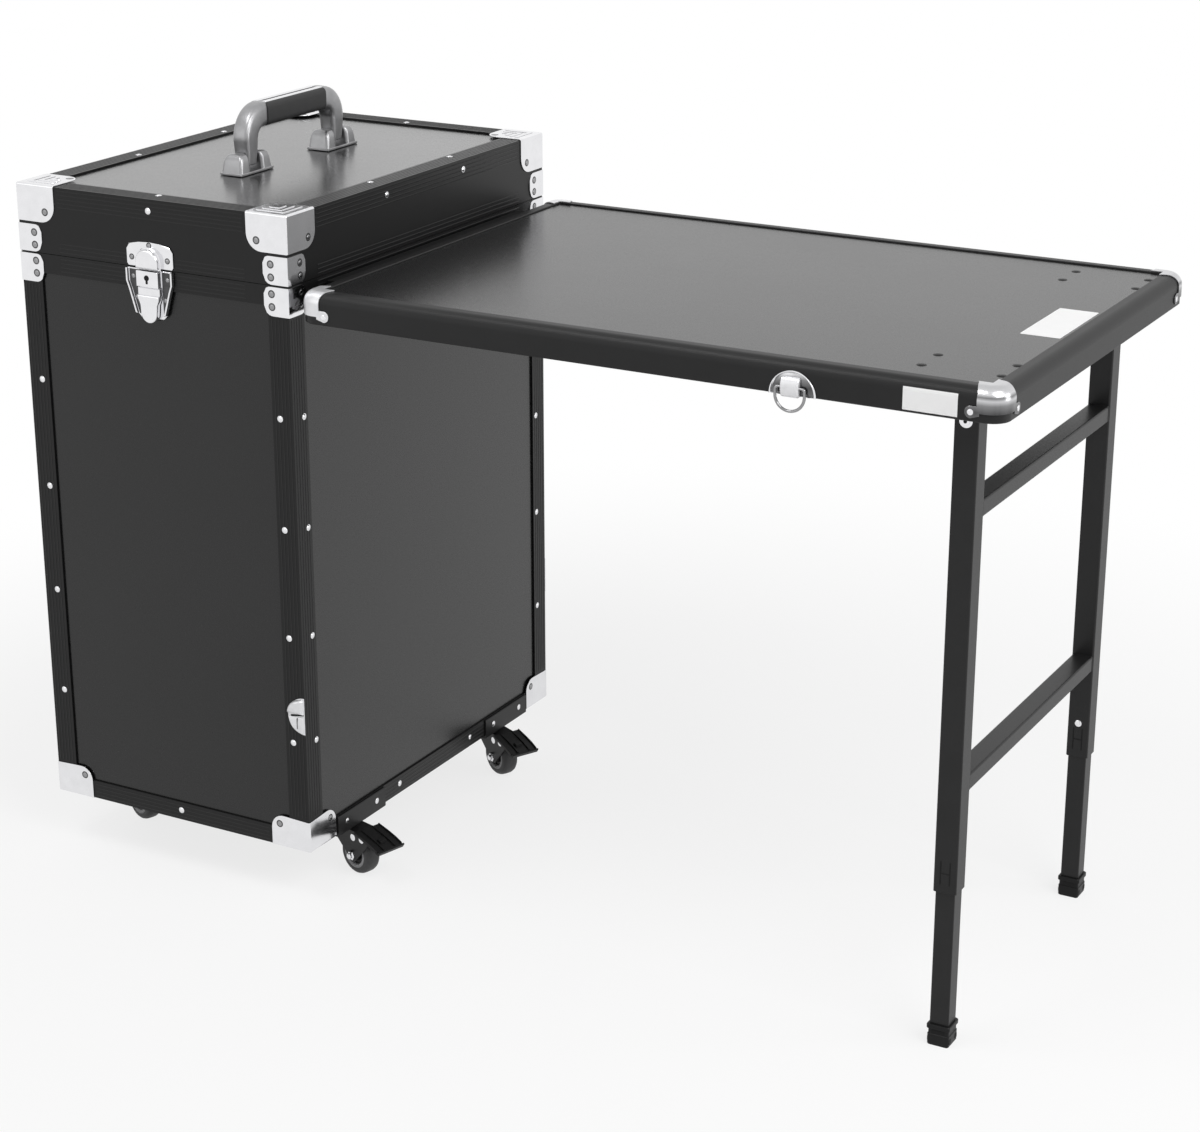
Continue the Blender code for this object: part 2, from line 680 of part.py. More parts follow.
def make_latch_lever():
    pivot = pivot_at("lever_axis", (CASE_MIDDLE, LEVER_AXIS_Y, LEVER_AXIS_Z))
    half = LATCH_NOSE_WIDTH / 2
    tip = half * 0.72
    bottom = LEVER_AXIS_Z - LEVER_LENGTH
    outline = [(CASE_MIDDLE - half, LEVER_AXIS_Z)]
    outline += arc((CASE_MIDDLE, bottom + tip), tip, 180, 360, 8)
    outline.append((CASE_MIDDLE + half, LEVER_AXIS_Z))
    outer = LEVER_AXIS_Y - LEVER_BARREL_RADIUS
    flap = prism(outline, "y", outer, outer + LEVER_SHEET)
    centre = (LEVER_AXIS_Y, LEVER_AXIS_Z)
    join(flap, rod("x", centre, LEVER_BARREL_RADIUS, CASE_MIDDLE - half, CASE_MIDDLE + half, 12))
    bore = LEVER_PIN_RADIUS + RUNNING_GAP
    cut(flap, rod("x", centre, bore, CASE_MIDDLE - LATCH_WIDTH, CASE_MIDDLE + LATCH_WIDTH, 10))
    piece("latch_lever", flap, "bright_steel", pivot, smooth=True)


def make_handle_feet(pivot):
    """Two cradles, each with a hump at both ends of the handle's leg and a pin across."""
    for name, side in (("front", -1), ("rear", 1)):
        middle = side * HANDLE_SPAN / 2
        base = LID_PANEL_TOP + GAP
        across, along = FOOT_PLATE_WIDTH / 2, FOOT_PLATE_LENGTH / 2
        low = Vector((CASE_MIDDLE - across, middle - along, base))
        high = Vector((CASE_MIDDLE + across, middle + along, base + FOOT_PLATE_SHEET))
        foot = block(low, high)
        slot = HANDLE_LEG_WIDTH / 2 + FOOT_SIDE_GAP
        pin_end = slot + HANDLE_PIN_GRIP
        for end in (-1, 1):
            y_low, y_high = sorted((middle + end * slot, middle + end * FOOT_PLATE_LENGTH / 2))
            hump = block(
                (low.x, y_low, low.z),
                (high.x, y_high, low.z + FOOT_HUMP_HEIGHT),
                ([(-1, 0, 1), (1, 0, 1), (0, end, 1)], FOOT_HUMP_RADIUS, 3),
            )
            join(foot, hump)
        ends = (middle - pin_end, middle + pin_end)
        pin = rod("y", (CASE_MIDDLE, HANDLE_AXIS_Z), HANDLE_PIN_RADIUS, *ends, 12)
        piece(f"handle_foot_{name}", join(foot, pin), "handle_metal", pivot, smooth=True)


def handle_path():
    """Points and headings, in degrees, from one leg's end over the bend to the grip, in the Y-Z plane."""
    half = HANDLE_SPAN / 2
    foot = HANDLE_AXIS_Z - HANDLE_LEG_END
    bend = (-half + HANDLE_BEND_RADIUS, HANDLE_CENTRE_Z - HANDLE_BEND_RADIUS)
    path = [((-half, foot), 90.0)]
    for k in range(7):
        turn = 180 - 15 * k
        point = arc(bend, HANDLE_BEND_RADIUS, turn, turn, 1)[0]
        path.append((point, turn - 90.0))
    path.append(((-GRIP_LENGTH / 2 - GAP, HANDLE_CENTRE_Z), 0.0))
    return path


def handle_loop(point, heading, depth, width):
    """The handle's rounded section at a point of its path."""
    across = math.radians(heading + 90)
    radius = min(depth, width) * 0.3
    outline = rounded_outline((-depth / 2, -width / 2), (depth / 2, width / 2), radius, 2)
    return [
        (CASE_MIDDLE + a, point[0] + b * math.cos(across), point[1] + b * math.sin(across))
        for a, b in outline
    ]


def make_handle(lid):
    pivot = pivot_at("handle_axis", (CASE_MIDDLE, 0.0, HANDLE_AXIS_Z))
    path = handle_path()
    loops = [handle_loop(point, heading, HANDLE_LEG_DEPTH, HANDLE_LEG_WIDTH) for point, heading in path]
    end, heading = path[-1]
    loops.append(handle_loop(end, heading, HANDLE_CORE, HANDLE_CORE))
    mirrored = [[(x, -y, z) for x, y, z in loop] for loop in reversed(loops)]
    arch = stack(loops + mirrored)
    bore = HANDLE_PIN_RADIUS + RUNNING_GAP
    cut(arch, rod("y", (CASE_MIDDLE, HANDLE_AXIS_Z), bore, -HANDLE_SPAN, HANDLE_SPAN, 12))
    piece("handle_arch", arch, "handle_metal", pivot, smooth=True)
    half = GRIP_THICKNESS / 2
    rims = [(x, 0, z) for x in (-1, 1) for z in (-1, 1)]
    grip = block(
        (CASE_MIDDLE - half, -GRIP_LENGTH / 2, HANDLE_CENTRE_Z - half),
        (CASE_MIDDLE + half, GRIP_LENGTH / 2, HANDLE_CENTRE_Z + half),
        (rims, GRIP_EDGE_RADIUS, 3),
    )
    core = HANDLE_CORE / 2 + GAP
    bore = block(
        (CASE_MIDDLE - core, -GRIP_LENGTH, HANDLE_CENTRE_Z - core),
        (CASE_MIDDLE + core, GRIP_LENGTH, HANDLE_CENTRE_Z + core),
    )
    piece("handle_grip", cut(grip, bore), "black_rubber", pivot, smooth=True)
    keep_place(pivot, lid)


def keep_place(empty, parent):
    """Hangs an empty that was placed in the world from another empty, without moving it."""
    empty.location = empty.location - parent.location
    empty.parent = parent


def table_slab(grow):
    """The table's outer shape, grown on every side but the bottom."""
    low = (TABLE_START - grow, -TABLE_HALF - grow, TABLE_BOTTOM)
    high = (TABLE_END + grow, TABLE_HALF + grow, TABLE_TOP + grow)
    return slab(low, high, RIM_CORNER_RADIUS + grow, RIM_TOP_RADIUS + grow)


def table_hollow(inset, bottom, top):
    """A plate inside the table's outline, for cutting."""
    low = (TABLE_START + inset, -TABLE_HALF + inset, bottom)
    high = (TABLE_END - inset, TABLE_HALF - inset, top)
    return slab(low, high, max(RIM_CORNER_RADIUS - inset, HOLLOW_CORNER_RADIUS))


def make_table():
    pivot = pivot_at("table_seat", (TABLE_START, 0.0, TABLE_TOP))
    rim = table_slab(0.0)
    shelf = BOARD_BOTTOM - GAP
    cut(
        rim,
        table_hollow(RIM_WIDTH, shelf, TABLE_TOP + RIM_WIDTH),
        table_hollow(BOARD_INSET, TABLE_BOTTOM + RIM_WALL, TABLE_TOP - RIM_LIP),
        table_hollow(RIM_WALL, TABLE_BOTTOM - RIM_WALL, shelf),
    )
    piece("table_rim", join(rim, table_hook()), "black_profile", pivot, smooth=True)
    tongue = table_hollow(BOARD_INSET + GAP, BOARD_BOTTOM, BOARD_TONGUE_TOP)
    field = table_hollow(RIM_WIDTH + GAP, (BOARD_BOTTOM + BOARD_TONGUE_TOP) / 2, BOARD_TOP)
    piece("table_board", join(tongue, field), "black_board", pivot)
    make_table_caps(pivot)
    for name, side in (("front", -1), ("rear", 1)):
        make_turn_latch(name, side, pivot)
        make_leg_bracket(name, pivot)
    make_legs(pivot)


def table_hook():
    """The down-turned lip along the table's inner end."""
    web = hook_web_bottom()
    lip = CASE_RIGHT + HOOK_STANDOFF
    inside = TABLE_START + RIM_WALL / 2
    outline = [
        (inside, web),
        (inside, web + HOOK_WEB),
        (lip, web + HOOK_WEB),
        (lip, web - HOOK_DROP),
        (lip + HOOK_SHEET, web - HOOK_DROP),
        (lip + HOOK_SHEET, web),
    ]
    return prism(outline, "y", -HOOK_LENGTH / 2, HOOK_LENGTH / 2)


def make_table_caps(pivot):
    for x_name, x, x_out in (("inner", TABLE_START, -1), ("outer", TABLE_END, 1)):
        for y_name, y_out in (("front", -1), ("rear", 1)):
            y = y_out * TABLE_HALF
            margin = 2 * (GAP + TABLE_CAP_SHEET)
            xs = sorted((x - x_out * TABLE_CAP_REACH, x + x_out * margin))
            ys = sorted((y - y_out * TABLE_CAP_REACH, y + y_out * margin))
            corner = block(
                (xs[0], ys[0], TABLE_BOTTOM + TABLE_CAP_SKIRT),
                (xs[1], ys[1], TABLE_TOP + margin),
                ([(-x_out, -y_out, 0), (-x_out, 0, -1), (0, -y_out, -1)], TABLE_CAP_LOBE_RADIUS, 3),
            )
            cap = table_slab(GAP + TABLE_CAP_SHEET)
            boolean(cap, corner, "INTERSECT")
            cut(cap, table_slab(GAP), table_hollow(RIM_WIDTH, BOARD_TOP, TABLE_TOP + 2 * margin))
            piece(f"table_cap_{x_name}_{y_name}", cap, "bright_steel", pivot, smooth=True)


def half_disc(centre, radius, turn):
    """Half a disc, its straight side through the centre, bulging towards turn, in degrees."""
    return arc(centre, radius, turn - 90, turn + 90, 12)


def make_turn_latch(name, side, pivot):
    """The dish on the table's edge, the core that turns in it and the wire ring on the core."""
    ys = sorted((side * (TABLE_HALF + GAP), side * DISH_FACE))
    dish = prism(half_disc((TURN_LATCH_X, TABLE_BOTTOM), DISH_RADIUS, 90), "y", *ys)
    piece(f"latch_dish_{name}", dish, "bright_steel", pivot)
    core_axis = pivot_at(f"core_axis_{name}", (TURN_LATCH_X, side * RING_Y, CORE_Z))
    ys = sorted((side * (DISH_FACE + GAP), side * (DISH_FACE + GAP + CORE_HEIGHT)))
    core = rod("y", (TURN_LATCH_X, CORE_Z), CORE_RADIUS, *ys)
    hole = RING_WIRE_RADIUS + RING_HOLE_GAP
    reach = 2 * CORE_RADIUS
    cut(core, rod("x", (side * RING_Y, CORE_Z), hole, TURN_LATCH_X - reach, TURN_LATCH_X + reach, 10))
    piece(f"latch_core_{name}", core, "bright_steel", core_axis, smooth=True)
    ring_axis = pivot_at(f"ring_axis_{name}", (TURN_LATCH_X, side * RING_Y, CORE_Z))
    piece(f"latch_ring_{name}", wire_ring(side * RING_Y), "bright_steel", ring_axis, smooth=True)
    keep_place(ring_axis, core_axis)
    keep_place(core_axis, pivot)


def wire_ring(y):
    """A D-shaped ring: a straight bar through the core and a bow that hangs from it."""
    centre = (TURN_LATCH_X, CORE_Z - RING_STRAIGHT)
    corner = math.sqrt(2)
    loops = [wire_loop((TURN_LATCH_X + RING_BOW_RADIUS, CORE_Z), y, 45.0, corner)]
    loops.append(wire_loop((TURN_LATCH_X - RING_BOW_RADIUS, CORE_Z), y, 135.0, corner))
    for k in range(13):
        outward = 180.0 + 15 * k
        loops.append(wire_loop(arc(centre, RING_BOW_RADIUS, outward, outward, 1)[0], y, outward, 1.0))
    return ring_of(loops)


def wire_loop(point, y, outward, stretch):
    """The wire's section at a point, in the plane of Y and the ring's outward direction, in degrees."""
    direction = math.radians(outward)
    loop = []
    for k in range(8):
        angle = 2 * math.pi * k / 8
        along = RING_WIRE_RADIUS * stretch * math.cos(angle)
        x = point[0] + along * math.cos(direction)
        z = point[1] + along * math.sin(direction)
        loop.append((x, y + RING_WIRE_RADIUS * math.sin(angle), z))
    return loop


def make_catches():
    """Half-round keepers on the posts, for the turn latches of the folded table."""
    for name, face, side in (("front", CASE_FRONT, -1), ("rear", CASE_REAR, 1)):
        ys = sorted((face + side * GAP, face + side * (GAP + DISH_SHEET)))
        catch = prism(half_disc((CASE_RIGHT, BOX_BOTTOM + CATCH_HEIGHT), CATCH_RADIUS, 180), "y", *ys)
        piece(f"turn_latch_keeper_{name}", catch, "bright_steel")


def make_leg_bracket(name, pivot):
    """A plate under the board with an ear beside the leg, and the leg's pivot bolt."""
    row = LEG_ROWS[name]
    ear_near = row + LEG_TUBE / 2 + GAP
    ear_far = ear_near + BRACKET_SHEET
    plate_front = ear_near - BRACKET_EAR_FROM_EDGE
    top = BOARD_BOTTOM - GAP
    bracket = block(
        (LEG_X - BRACKET_LENGTH / 2, plate_front, top - BRACKET_SHEET),
        (LEG_X + BRACKET_LENGTH / 2, plate_front + BRACKET_WIDTH, top),
    )
    past_rim = LEG_X + BRACKET_LENGTH / 2 - (TABLE_END - RIM_WALL - GAP)
    if past_rim > 0:
        bracket.data.transform(Matrix.Translation((-past_rim, 0, 0)))
    half = BRACKET_EAR_WIDTH / 2
    ear = [(LEG_X - half, top - BRACKET_SHEET / 2)]
    ear += arc((LEG_X, LEG_PIVOT_Z + half - BRACKET_EAR_BELOW), half, 180, 360, 8)
    ear.append((LEG_X + half, top - BRACKET_SHEET / 2))
    front = row - LEG_TUBE / 2 - GAP
    ends = (front - LEG_BOLT_HEAD / 2, ear_far - BRACKET_SHEET / 2)
    bolt = rod("y", (LEG_X, LEG_PIVOT_Z), LEG_PIN_RADIUS, *ends, 12)
    head = rod("y", (LEG_X, LEG_PIVOT_Z), LEG_BOLT_HEAD_RADIUS, front - LEG_BOLT_HEAD, front, 12)
    join(bracket, prism(ear, "y", ear_near, ear_far), bolt, head)
    piece(f"leg_bracket_{name}", bracket, "black_paint", pivot)


def make_legs(table):
    pivot = pivot_at("leg_axis", (LEG_X, 0.0, LEG_PIVOT_Z))
    frame = None
    half = LEG_TUBE / 2
    for name, inward in (("front", 1), ("rear", -1)):
        tube = outer_tube(LEG_ROWS[name], inward)
        frame = tube if frame is None else join(frame, tube)
    depth = CROSSBAR_DEPTH / 2
    for drop in (UPPER_CROSSBAR_DROP, LOWER_CROSSBAR_DROP):
        middle = LEG_PIVOT_Z - drop
        bar = block(
            (LEG_X - depth, LEG_ROWS["front"] + half - LEG_WALL / 2, middle - CROSSBAR_HEIGHT / 2),
            (LEG_X + depth, LEG_ROWS["rear"] - half + LEG_WALL / 2, middle + CROSSBAR_HEIGHT / 2),
        )
        join(frame, bar)
    piece("leg_frame", frame, "black_paint", pivot)
    for name, inward in (("front", 1), ("rear", -1)):
        make_inner_leg(name, inward, pivot)
    keep_place(pivot, table)


def outer_tube(row, inward):
    half = LEG_TUBE / 2
    bore = half - LEG_WALL
    tube = block(
        (LEG_X - half, row - half, OUTER_TUBE_BOTTOM),
        (LEG_X + half, row + half, LEG_PIVOT_Z + LEG_TOP_RISE),
    )
    hollow = block(
        (LEG_X - bore, row - bore, OUTER_TUBE_BOTTOM - LEG_TUBE),
        (LEG_X + bore, row + bore, LEG_PIVOT_Z + LEG_TOP_RISE - LEG_WALL),
    )
    ends = (row - LEG_TUBE, row + LEG_TUBE)
    pin_hole = rod("y", (LEG_X, LEG_PIVOT_Z), LEG_PIN_RADIUS + RUNNING_GAP, *ends, 12)
    ys = sorted((row, row + inward * LEG_TUBE))
    button_hole = rod("y", (LEG_X, BUTTON_Z), BUTTON_RADIUS + RUNNING_GAP, *ys, 12)
    return cut(tube, hollow, pin_hole, button_hole)


def make_inner_leg(name, inward, frame):
    """The tube that slides in the leg, its plastic shoe and the spring button of the height stop."""
    row = LEG_ROWS[name]
    slide = pivot_at(f"inner_leg_seat_{name}", (LEG_X, row, OUTER_TUBE_BOTTOM))
    half = INNER_TUBE / 2
    bore = half - INNER_WALL
    bottom = SHOE_FLOOR + GAP
    top = OUTER_TUBE_BOTTOM + INNER_OVERLAP
    tube = block((LEG_X - half, row - half, bottom), (LEG_X + half, row + half, top))
    cut(tube, block((LEG_X - bore, row - bore, bottom - half), (LEG_X + bore, row + bore, top + half)))
    ys = sorted((row, row + inward * INNER_TUBE))
    heights = [BUTTON_Z + k * HOLE_PITCH for k in range(HOLE_COUNT)]
    cut(tube, together(*(rod("y", (LEG_X, z), BUTTON_RADIUS + RUNNING_GAP, *ys, 12) for z in heights)))
    piece(f"inner_leg_{name}", tube, "black_paint", slide)
    piece(f"leg_shoe_{name}", leg_shoe(row), "black_plastic", slide)
    face = row + inward * LEG_TUBE / 2
    button_axis = pivot_at(f"button_axis_{name}", (LEG_X, face, BUTTON_Z))
    seat = LEG_WALL + LEG_SLIDE_GAP - RUNNING_GAP - BUTTON_STROKE
    ys = sorted((face - inward * seat, face + inward * BUTTON_STROKE))
    button = rod("y", (LEG_X, BUTTON_Z), BUTTON_RADIUS, *ys, 12)
    piece(f"leg_button_{name}", button, "bright_steel", button_axis, smooth=True)
    keep_place(slide, frame)
    keep_place(button_axis, frame)


def leg_shoe(row):
    """A clip-on shoe: sole, waist and flange, with a pocket for the tube's end."""
    levels = (
        (0.0, 0.0),
        (SHOE_SOLE, 0.0),
        (SHOE_SOLE, -SHOE_WAIST),
        (SHOE_HEIGHT - SHOE_FLANGE, -SHOE_WAIST),
        (SHOE_HEIGHT - SHOE_FLANGE, SHOE_FLANGE_LIP),
        (SHOE_HEIGHT, SHOE_FLANGE_LIP),
    )
    loops = []
    for z, grow in levels:
        x = SHOE_WIDTH / 2 + grow
        y = SHOE_DEPTH / 2 + grow
        loops.append([(LEG_X + a * x, row + b * y, z) for a, b in ((-1, -1), (1, -1), (1, 1), (-1, 1))])
    pocket = INNER_TUBE / 2 + GAP
    hollow = block(
        (LEG_X - pocket, row - pocket, SHOE_FLOOR),
        (LEG_X + pocket, row + pocket, SHOE_HEIGHT + SHOE_SOLE),
    )
    return cut(stack(loops), hollow)


def make_casters():
    for name, x, y, x_in, y_in in corners():
        swivel_x = x + x_in * CASTER_INSET
        swivel_y = y + y_in * CASTER_ROW
        make_caster_plate(name, x, swivel_x, swivel_y, x_in)
        swivel = pivot_at(f"caster_axis_{name}", (swivel_x, swivel_y, 0.0), CASTER_TURNS[name])
        fork = caster_fork(x_in < 0)
        piece(f"caster_fork_{name}", fork, "black_paint")
        fork.parent = swivel
        wheel = caster_wheel()
        piece(f"caster_wheel_{name}", wheel, "wheel_grey", smooth=True)
        wheel.location = (WHEEL_TRAIL, 0.0, WHEEL_RADIUS)
        wheel.parent = swivel
        if x_in < 0:
            pedal = piece(f"brake_pedal_{name}", brake_pedal(), "black_plastic")
            pedal.location = (PEDAL_PIVOT, 0.0, pedal_height())
            pedal.parent = swivel


def make_caster_plate(name, side_x, swivel_x, swivel_y, x_in):
    """An L-shaped plate riveted to the case's side, with the race and kingpin under it."""
    outer = side_x - x_in * (GAP + CASTER_FLANGE)
    near = side_x - x_in * GAP
    inner = side_x + x_in * CASTER_PLATE_WIDTH
    plate_top = PLATE_UNDERSIDE + CASTER_PLATE
    outline = [
        (outer, PLATE_UNDERSIDE),
        (inner, PLATE_UNDERSIDE),
        (inner, plate_top),
        (near, plate_top),
        (near, BOX_BOTTOM + CASTER_FLANGE_RISE),
        (outer, BOX_BOTTOM + CASTER_FLANGE_RISE),
    ]
    half = CASTER_PLATE_LENGTH / 2
    plate = prism(outline, "y", swivel_y - half, swivel_y + half)
    centre = (swivel_x, swivel_y)
    race = rod("z", centre, RACE_RADIUS, RACE_UNDERSIDE, PLATE_UNDERSIDE + CASTER_PLATE / 2, 20)
    head_top = FORK_ROOF - GAP
    ends = (head_top - KINGPIN_HEAD / 2, RACE_UNDERSIDE + RACE_HEIGHT / 2)
    kingpin = rod("z", centre, KINGPIN_RADIUS, *ends, 12)
    head = rod("z", centre, KINGPIN_HEAD_RADIUS, head_top - KINGPIN_HEAD, head_top, 12)
    piece(f"caster_plate_{name}", join(plate, race, kingpin, head), "black_paint")


def pedal_height():
    return FORK_ROOF - PEDAL_ARM / 2 - PEDAL_ROOF_GAP


def caster_fork(with_pedal):
    """Roof, cheeks and axle, about the swivel axis, with the wheel trailing along X."""
    roof_top = FORK_ROOF + FORK_SHEET
    front = -FORK_NOSE
    outline = [(front, roof_top), (front, FORK_ROOF - FORK_NOSE_DEPTH)]
    outline += arc((WHEEL_TRAIL, WHEEL_RADIUS), FORK_BOSS_RADIUS, 205, 335, 6)
    outline += [(FORK_REACH, FORK_ROOF - FORK_TAIL_DEPTH), (FORK_REACH, roof_top)]
    fork = prism(outline, "y", -FORK_OUTSIDE, FORK_OUTSIDE)
    cut(fork, block((-FORK_REACH, -FORK_INSIDE, -WHEEL_RADIUS), (2 * FORK_REACH, FORK_INSIDE, FORK_ROOF)))
    step = FORK_SHEET / 8
    join(fork, rod("z", (0.0, 0.0), RACE_RADIUS, FORK_ROOF + step, roof_top - step, 20))
    end = FORK_OUTSIDE + AXLE_END
    join(fork, rod("y", (WHEEL_TRAIL, WHEEL_RADIUS), AXLE_RADIUS, -end, end, 12))
    ends = (FORK_ROOF - RACE_HEIGHT, roof_top + RACE_HEIGHT)
    cut(fork, rod("z", (0.0, 0.0), KINGPIN_RADIUS + RUNNING_GAP, *ends, 12))
    if with_pedal:
        bore = PEDAL_PIN_RADIUS + RUNNING_GAP
        cut(fork, rod("y", (PEDAL_PIVOT, pedal_height()), bore, -2 * FORK_OUTSIDE, 2 * FORK_OUTSIDE, 12))
    return fork


def caster_wheel():
    """A turned wheel about its own axle, along Y."""
    half = WHEEL_WIDTH / 2
    bore = AXLE_RADIUS + RUNNING_GAP
    side = [
        (half - HUB_SETBACK, bore),
        (half - HUB_SETBACK, HUB_RADIUS),
        (half - HUB_RECESS, HUB_RADIUS + DISC_DRAFT),
        (half - HUB_RECESS, WHEEL_DISC_RADIUS),
        (half, WHEEL_DISC_RADIUS + DISC_DRAFT),
        (half, WHEEL_RADIUS - TYRE_CROWN),
        (half - TYRE_CROWN * 0.5, WHEEL_RADIUS - TYRE_CROWN * 0.25),
        (half - TYRE_CROWN * 1.3, WHEEL_RADIUS),
    ]
    profile = side + [(-y, r) for y, r in reversed(side)]
    sides = 20
    loops = []
    for k in range(sides):
        angle = 2 * math.pi * k / sides - math.pi / 2
        loops.append([(r * math.cos(angle), y, r * math.sin(angle)) for y, r in profile])
    return ring_of(loops)


def brake_pedal():
    """A foot pedal about its own pin, along Y, reaching out along X."""
    arm_half = PEDAL_ARM / 2
    start = FORK_REACH + PEDAL_FORK_GAP - PEDAL_PIVOT
    inside = FORK_INSIDE - PEDAL_SIDE_GAP
    arm = block((-arm_half - PEDAL_HEEL, -inside, -arm_half), (start + PEDAL_SHEET, inside, arm_half))
    plate = [
        (start, arm_half),
        (PEDAL_REACH - PEDAL_LIP, arm_half - PEDAL_FALL),
        (PEDAL_REACH, arm_half - PEDAL_FALL + PEDAL_LIP),
        (PEDAL_REACH + PEDAL_LIP / 2, arm_half - PEDAL_FALL + PEDAL_LIP / 2),
        (PEDAL_REACH - PEDAL_LIP / 2, arm_half - PEDAL_FALL - PEDAL_SHEET),
        (start, arm_half - PEDAL_SHEET),
    ]
    join(arm, prism(plate, "y", -PEDAL_WIDTH / 2, PEDAL_WIDTH / 2))
    reach = FORK_OUTSIDE + PEDAL_PIN_END
    return join(arm, rod("y", (0.0, 0.0), PEDAL_PIN_RADIUS, -reach, reach, 12))


def main():
    clear_scene()
    make_body_frame()
    make_panels()
    make_base_caps()
    make_latch_base()
    make_latch_lever()
    make_catches()
    make_lid()
    make_table()
    make_casters()


main()
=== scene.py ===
"""Looks of a rolling salon case and its hook-on table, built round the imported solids.

Sizes are in millimetres, in the frame of the solids: X from the case to the table, Y from front to
back and Z up. Each mesh is scaled to metres as it becomes an object.
"""

import json
import math

import bmesh
import bpy
from mathutils import Matrix, Vector


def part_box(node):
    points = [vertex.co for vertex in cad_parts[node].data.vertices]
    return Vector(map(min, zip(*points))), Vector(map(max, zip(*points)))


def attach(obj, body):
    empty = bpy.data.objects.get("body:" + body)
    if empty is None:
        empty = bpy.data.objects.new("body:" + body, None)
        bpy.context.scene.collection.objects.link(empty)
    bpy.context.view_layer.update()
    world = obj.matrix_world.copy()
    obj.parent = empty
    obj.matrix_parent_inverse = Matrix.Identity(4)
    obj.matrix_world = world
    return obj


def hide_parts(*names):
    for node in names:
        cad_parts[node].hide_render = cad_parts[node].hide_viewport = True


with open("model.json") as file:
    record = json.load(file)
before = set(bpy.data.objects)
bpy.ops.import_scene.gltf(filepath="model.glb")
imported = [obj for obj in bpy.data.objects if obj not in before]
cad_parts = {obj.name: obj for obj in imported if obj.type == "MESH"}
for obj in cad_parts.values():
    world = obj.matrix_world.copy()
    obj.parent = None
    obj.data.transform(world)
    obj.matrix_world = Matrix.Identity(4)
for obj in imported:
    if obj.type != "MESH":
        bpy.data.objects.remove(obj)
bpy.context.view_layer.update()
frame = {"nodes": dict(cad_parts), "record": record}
MM = 0.001
TO_METRES = Matrix.Scale(MM, 4)
X, Y, Z = Vector((1, 0, 0)), Vector((0, 1, 0)), Vector((0, 0, 1))


def extent(node):
    """The low and the high corner of a solid."""
    return [Vector(corner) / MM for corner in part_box(node)]


# Places read from the solids
PANEL_SET_IN = 2.3
lid_low, lid_high = extent("lid_panel")
LEFT, RIGHT = lid_low.x - PANEL_SET_IN, lid_high.x + PANEL_SET_IN
FRONT, REAR = lid_low.y - PANEL_SET_IN, lid_high.y + PANEL_SET_IN
TOP = lid_high.z + PANEL_SET_IN
BOTTOM = extent("base_panel")[0].z - PANEL_SET_IN
SPLIT = extent("front_panel")[1].z + 0.6
MIDDLE = (LEFT + RIGHT) / 2
rim_low, rim_high = extent("table_rim")
board_low, board_high = extent("table_board")
TABLE_START, TABLE_END, TABLE_HALF = board_low.x - 9.3, rim_high.x, rim_high.y
TABLE_BOTTOM, TABLE_TOP, BOARD_TOP = rim_low.z, rim_high.z, board_high.z
frame_low, frame_high = extent("leg_frame")
LEG_X = (frame_low.x + frame_high.x) / 2
TUBE = 25
LEG_ROWS = {"front": frame_low.y + TUBE / 2, "rear": frame_high.y - TUBE / 2}

# Sizes of the trim
TOUCHING = 1e-4
FLAT_FACE_WEIGHT = 80
CASE_WIDTH, CASE_DEPTH, CASE_HEIGHT = 360, 532, 730
CAP_PROUD, CAP_SHEET, CAP_REACH, CAP_EDGE_ROUND, CAP_EDGE_SOFT = 1.2, 1.0, 51, 2.2, 0.3
LID_CAP_HEIGHT, LID_CAP_LOBE = 41, 19
BASE_CAP_HEIGHT, BASE_CAP_LOBE, BASE_CAP_DIP = 38, 17, 2
RIDGE_WIDTH = 4.4
BRACKET_WIDTH, BRACKET_UPPER_ROUND, BRACKET_LOWER_ROUND, BRACKET_STEPS = 31, 8, 11, 10
RIVET_RADIUS, RIVET_RISE = 3.1, 1.3
SMALL_RIVET_RADIUS, CAP_RIVET_RISE = 2.6, 0.6
DIMPLE_SHADE_SIZE, DIMPLE_SHADE_RISE = 1.45, 0.16
POST_RIVETS, FRONT_RIVETS, SIDE_RIVETS = (508, 382, 256, 131), (-343, -17), (20, 512)
BASE_RAIL_LEVEL, LID_FRONT_LEVEL, LID_SIDE_LEVEL = 12, 717, 718
BASE_RAIL_RIVETS, LID_RAIL_RIVETS, LID_TOP_RIVETS = (186, 345), (192, 352), (190, 355)
BRACKET_RIVET_IN, BRACKET_RIVETS = 21, (9, 23)
FLUTE_RADIUS, FLUTE_RISE, FLUTE_PITCH, FIRST_FLUTE = 0.9, 0.35, 4.6, 4
RIM_CORNER, RIM_ROUND, RIM_LIP_WIDTH = 20, 12, 20
TABLE_CAP_LIFT, TABLE_CAP_SHEET, TAB_RADIUS = 1.35, 0.9, 6
HOOK_UNDER_SPLIT, HOOK_FROM_CORNER = 8.5, 66
LATCH_HALF, LATCH_FOOT_HALF, LATCH_SHEET, NOSE_HALF = 31, 20, 1.6, 15
HANDLE_BEND = 26
KEEPER_DEPTH = 6.5
TUBE_WALL = 1.5
CROSSBARS = (576, 288)
BUTTON_PITCH = 25
WHEEL_RADIUS, WHEEL_TRAIL = 25, 29
FORK_ROOF, ROOF_END = 54.4, 40


def at(x, y, z):
    """A point from the case's front, table-side, lower corner."""
    return Vector((RIGHT + x, FRONT + y, BOTTOM + z))


# Node trees and finishes


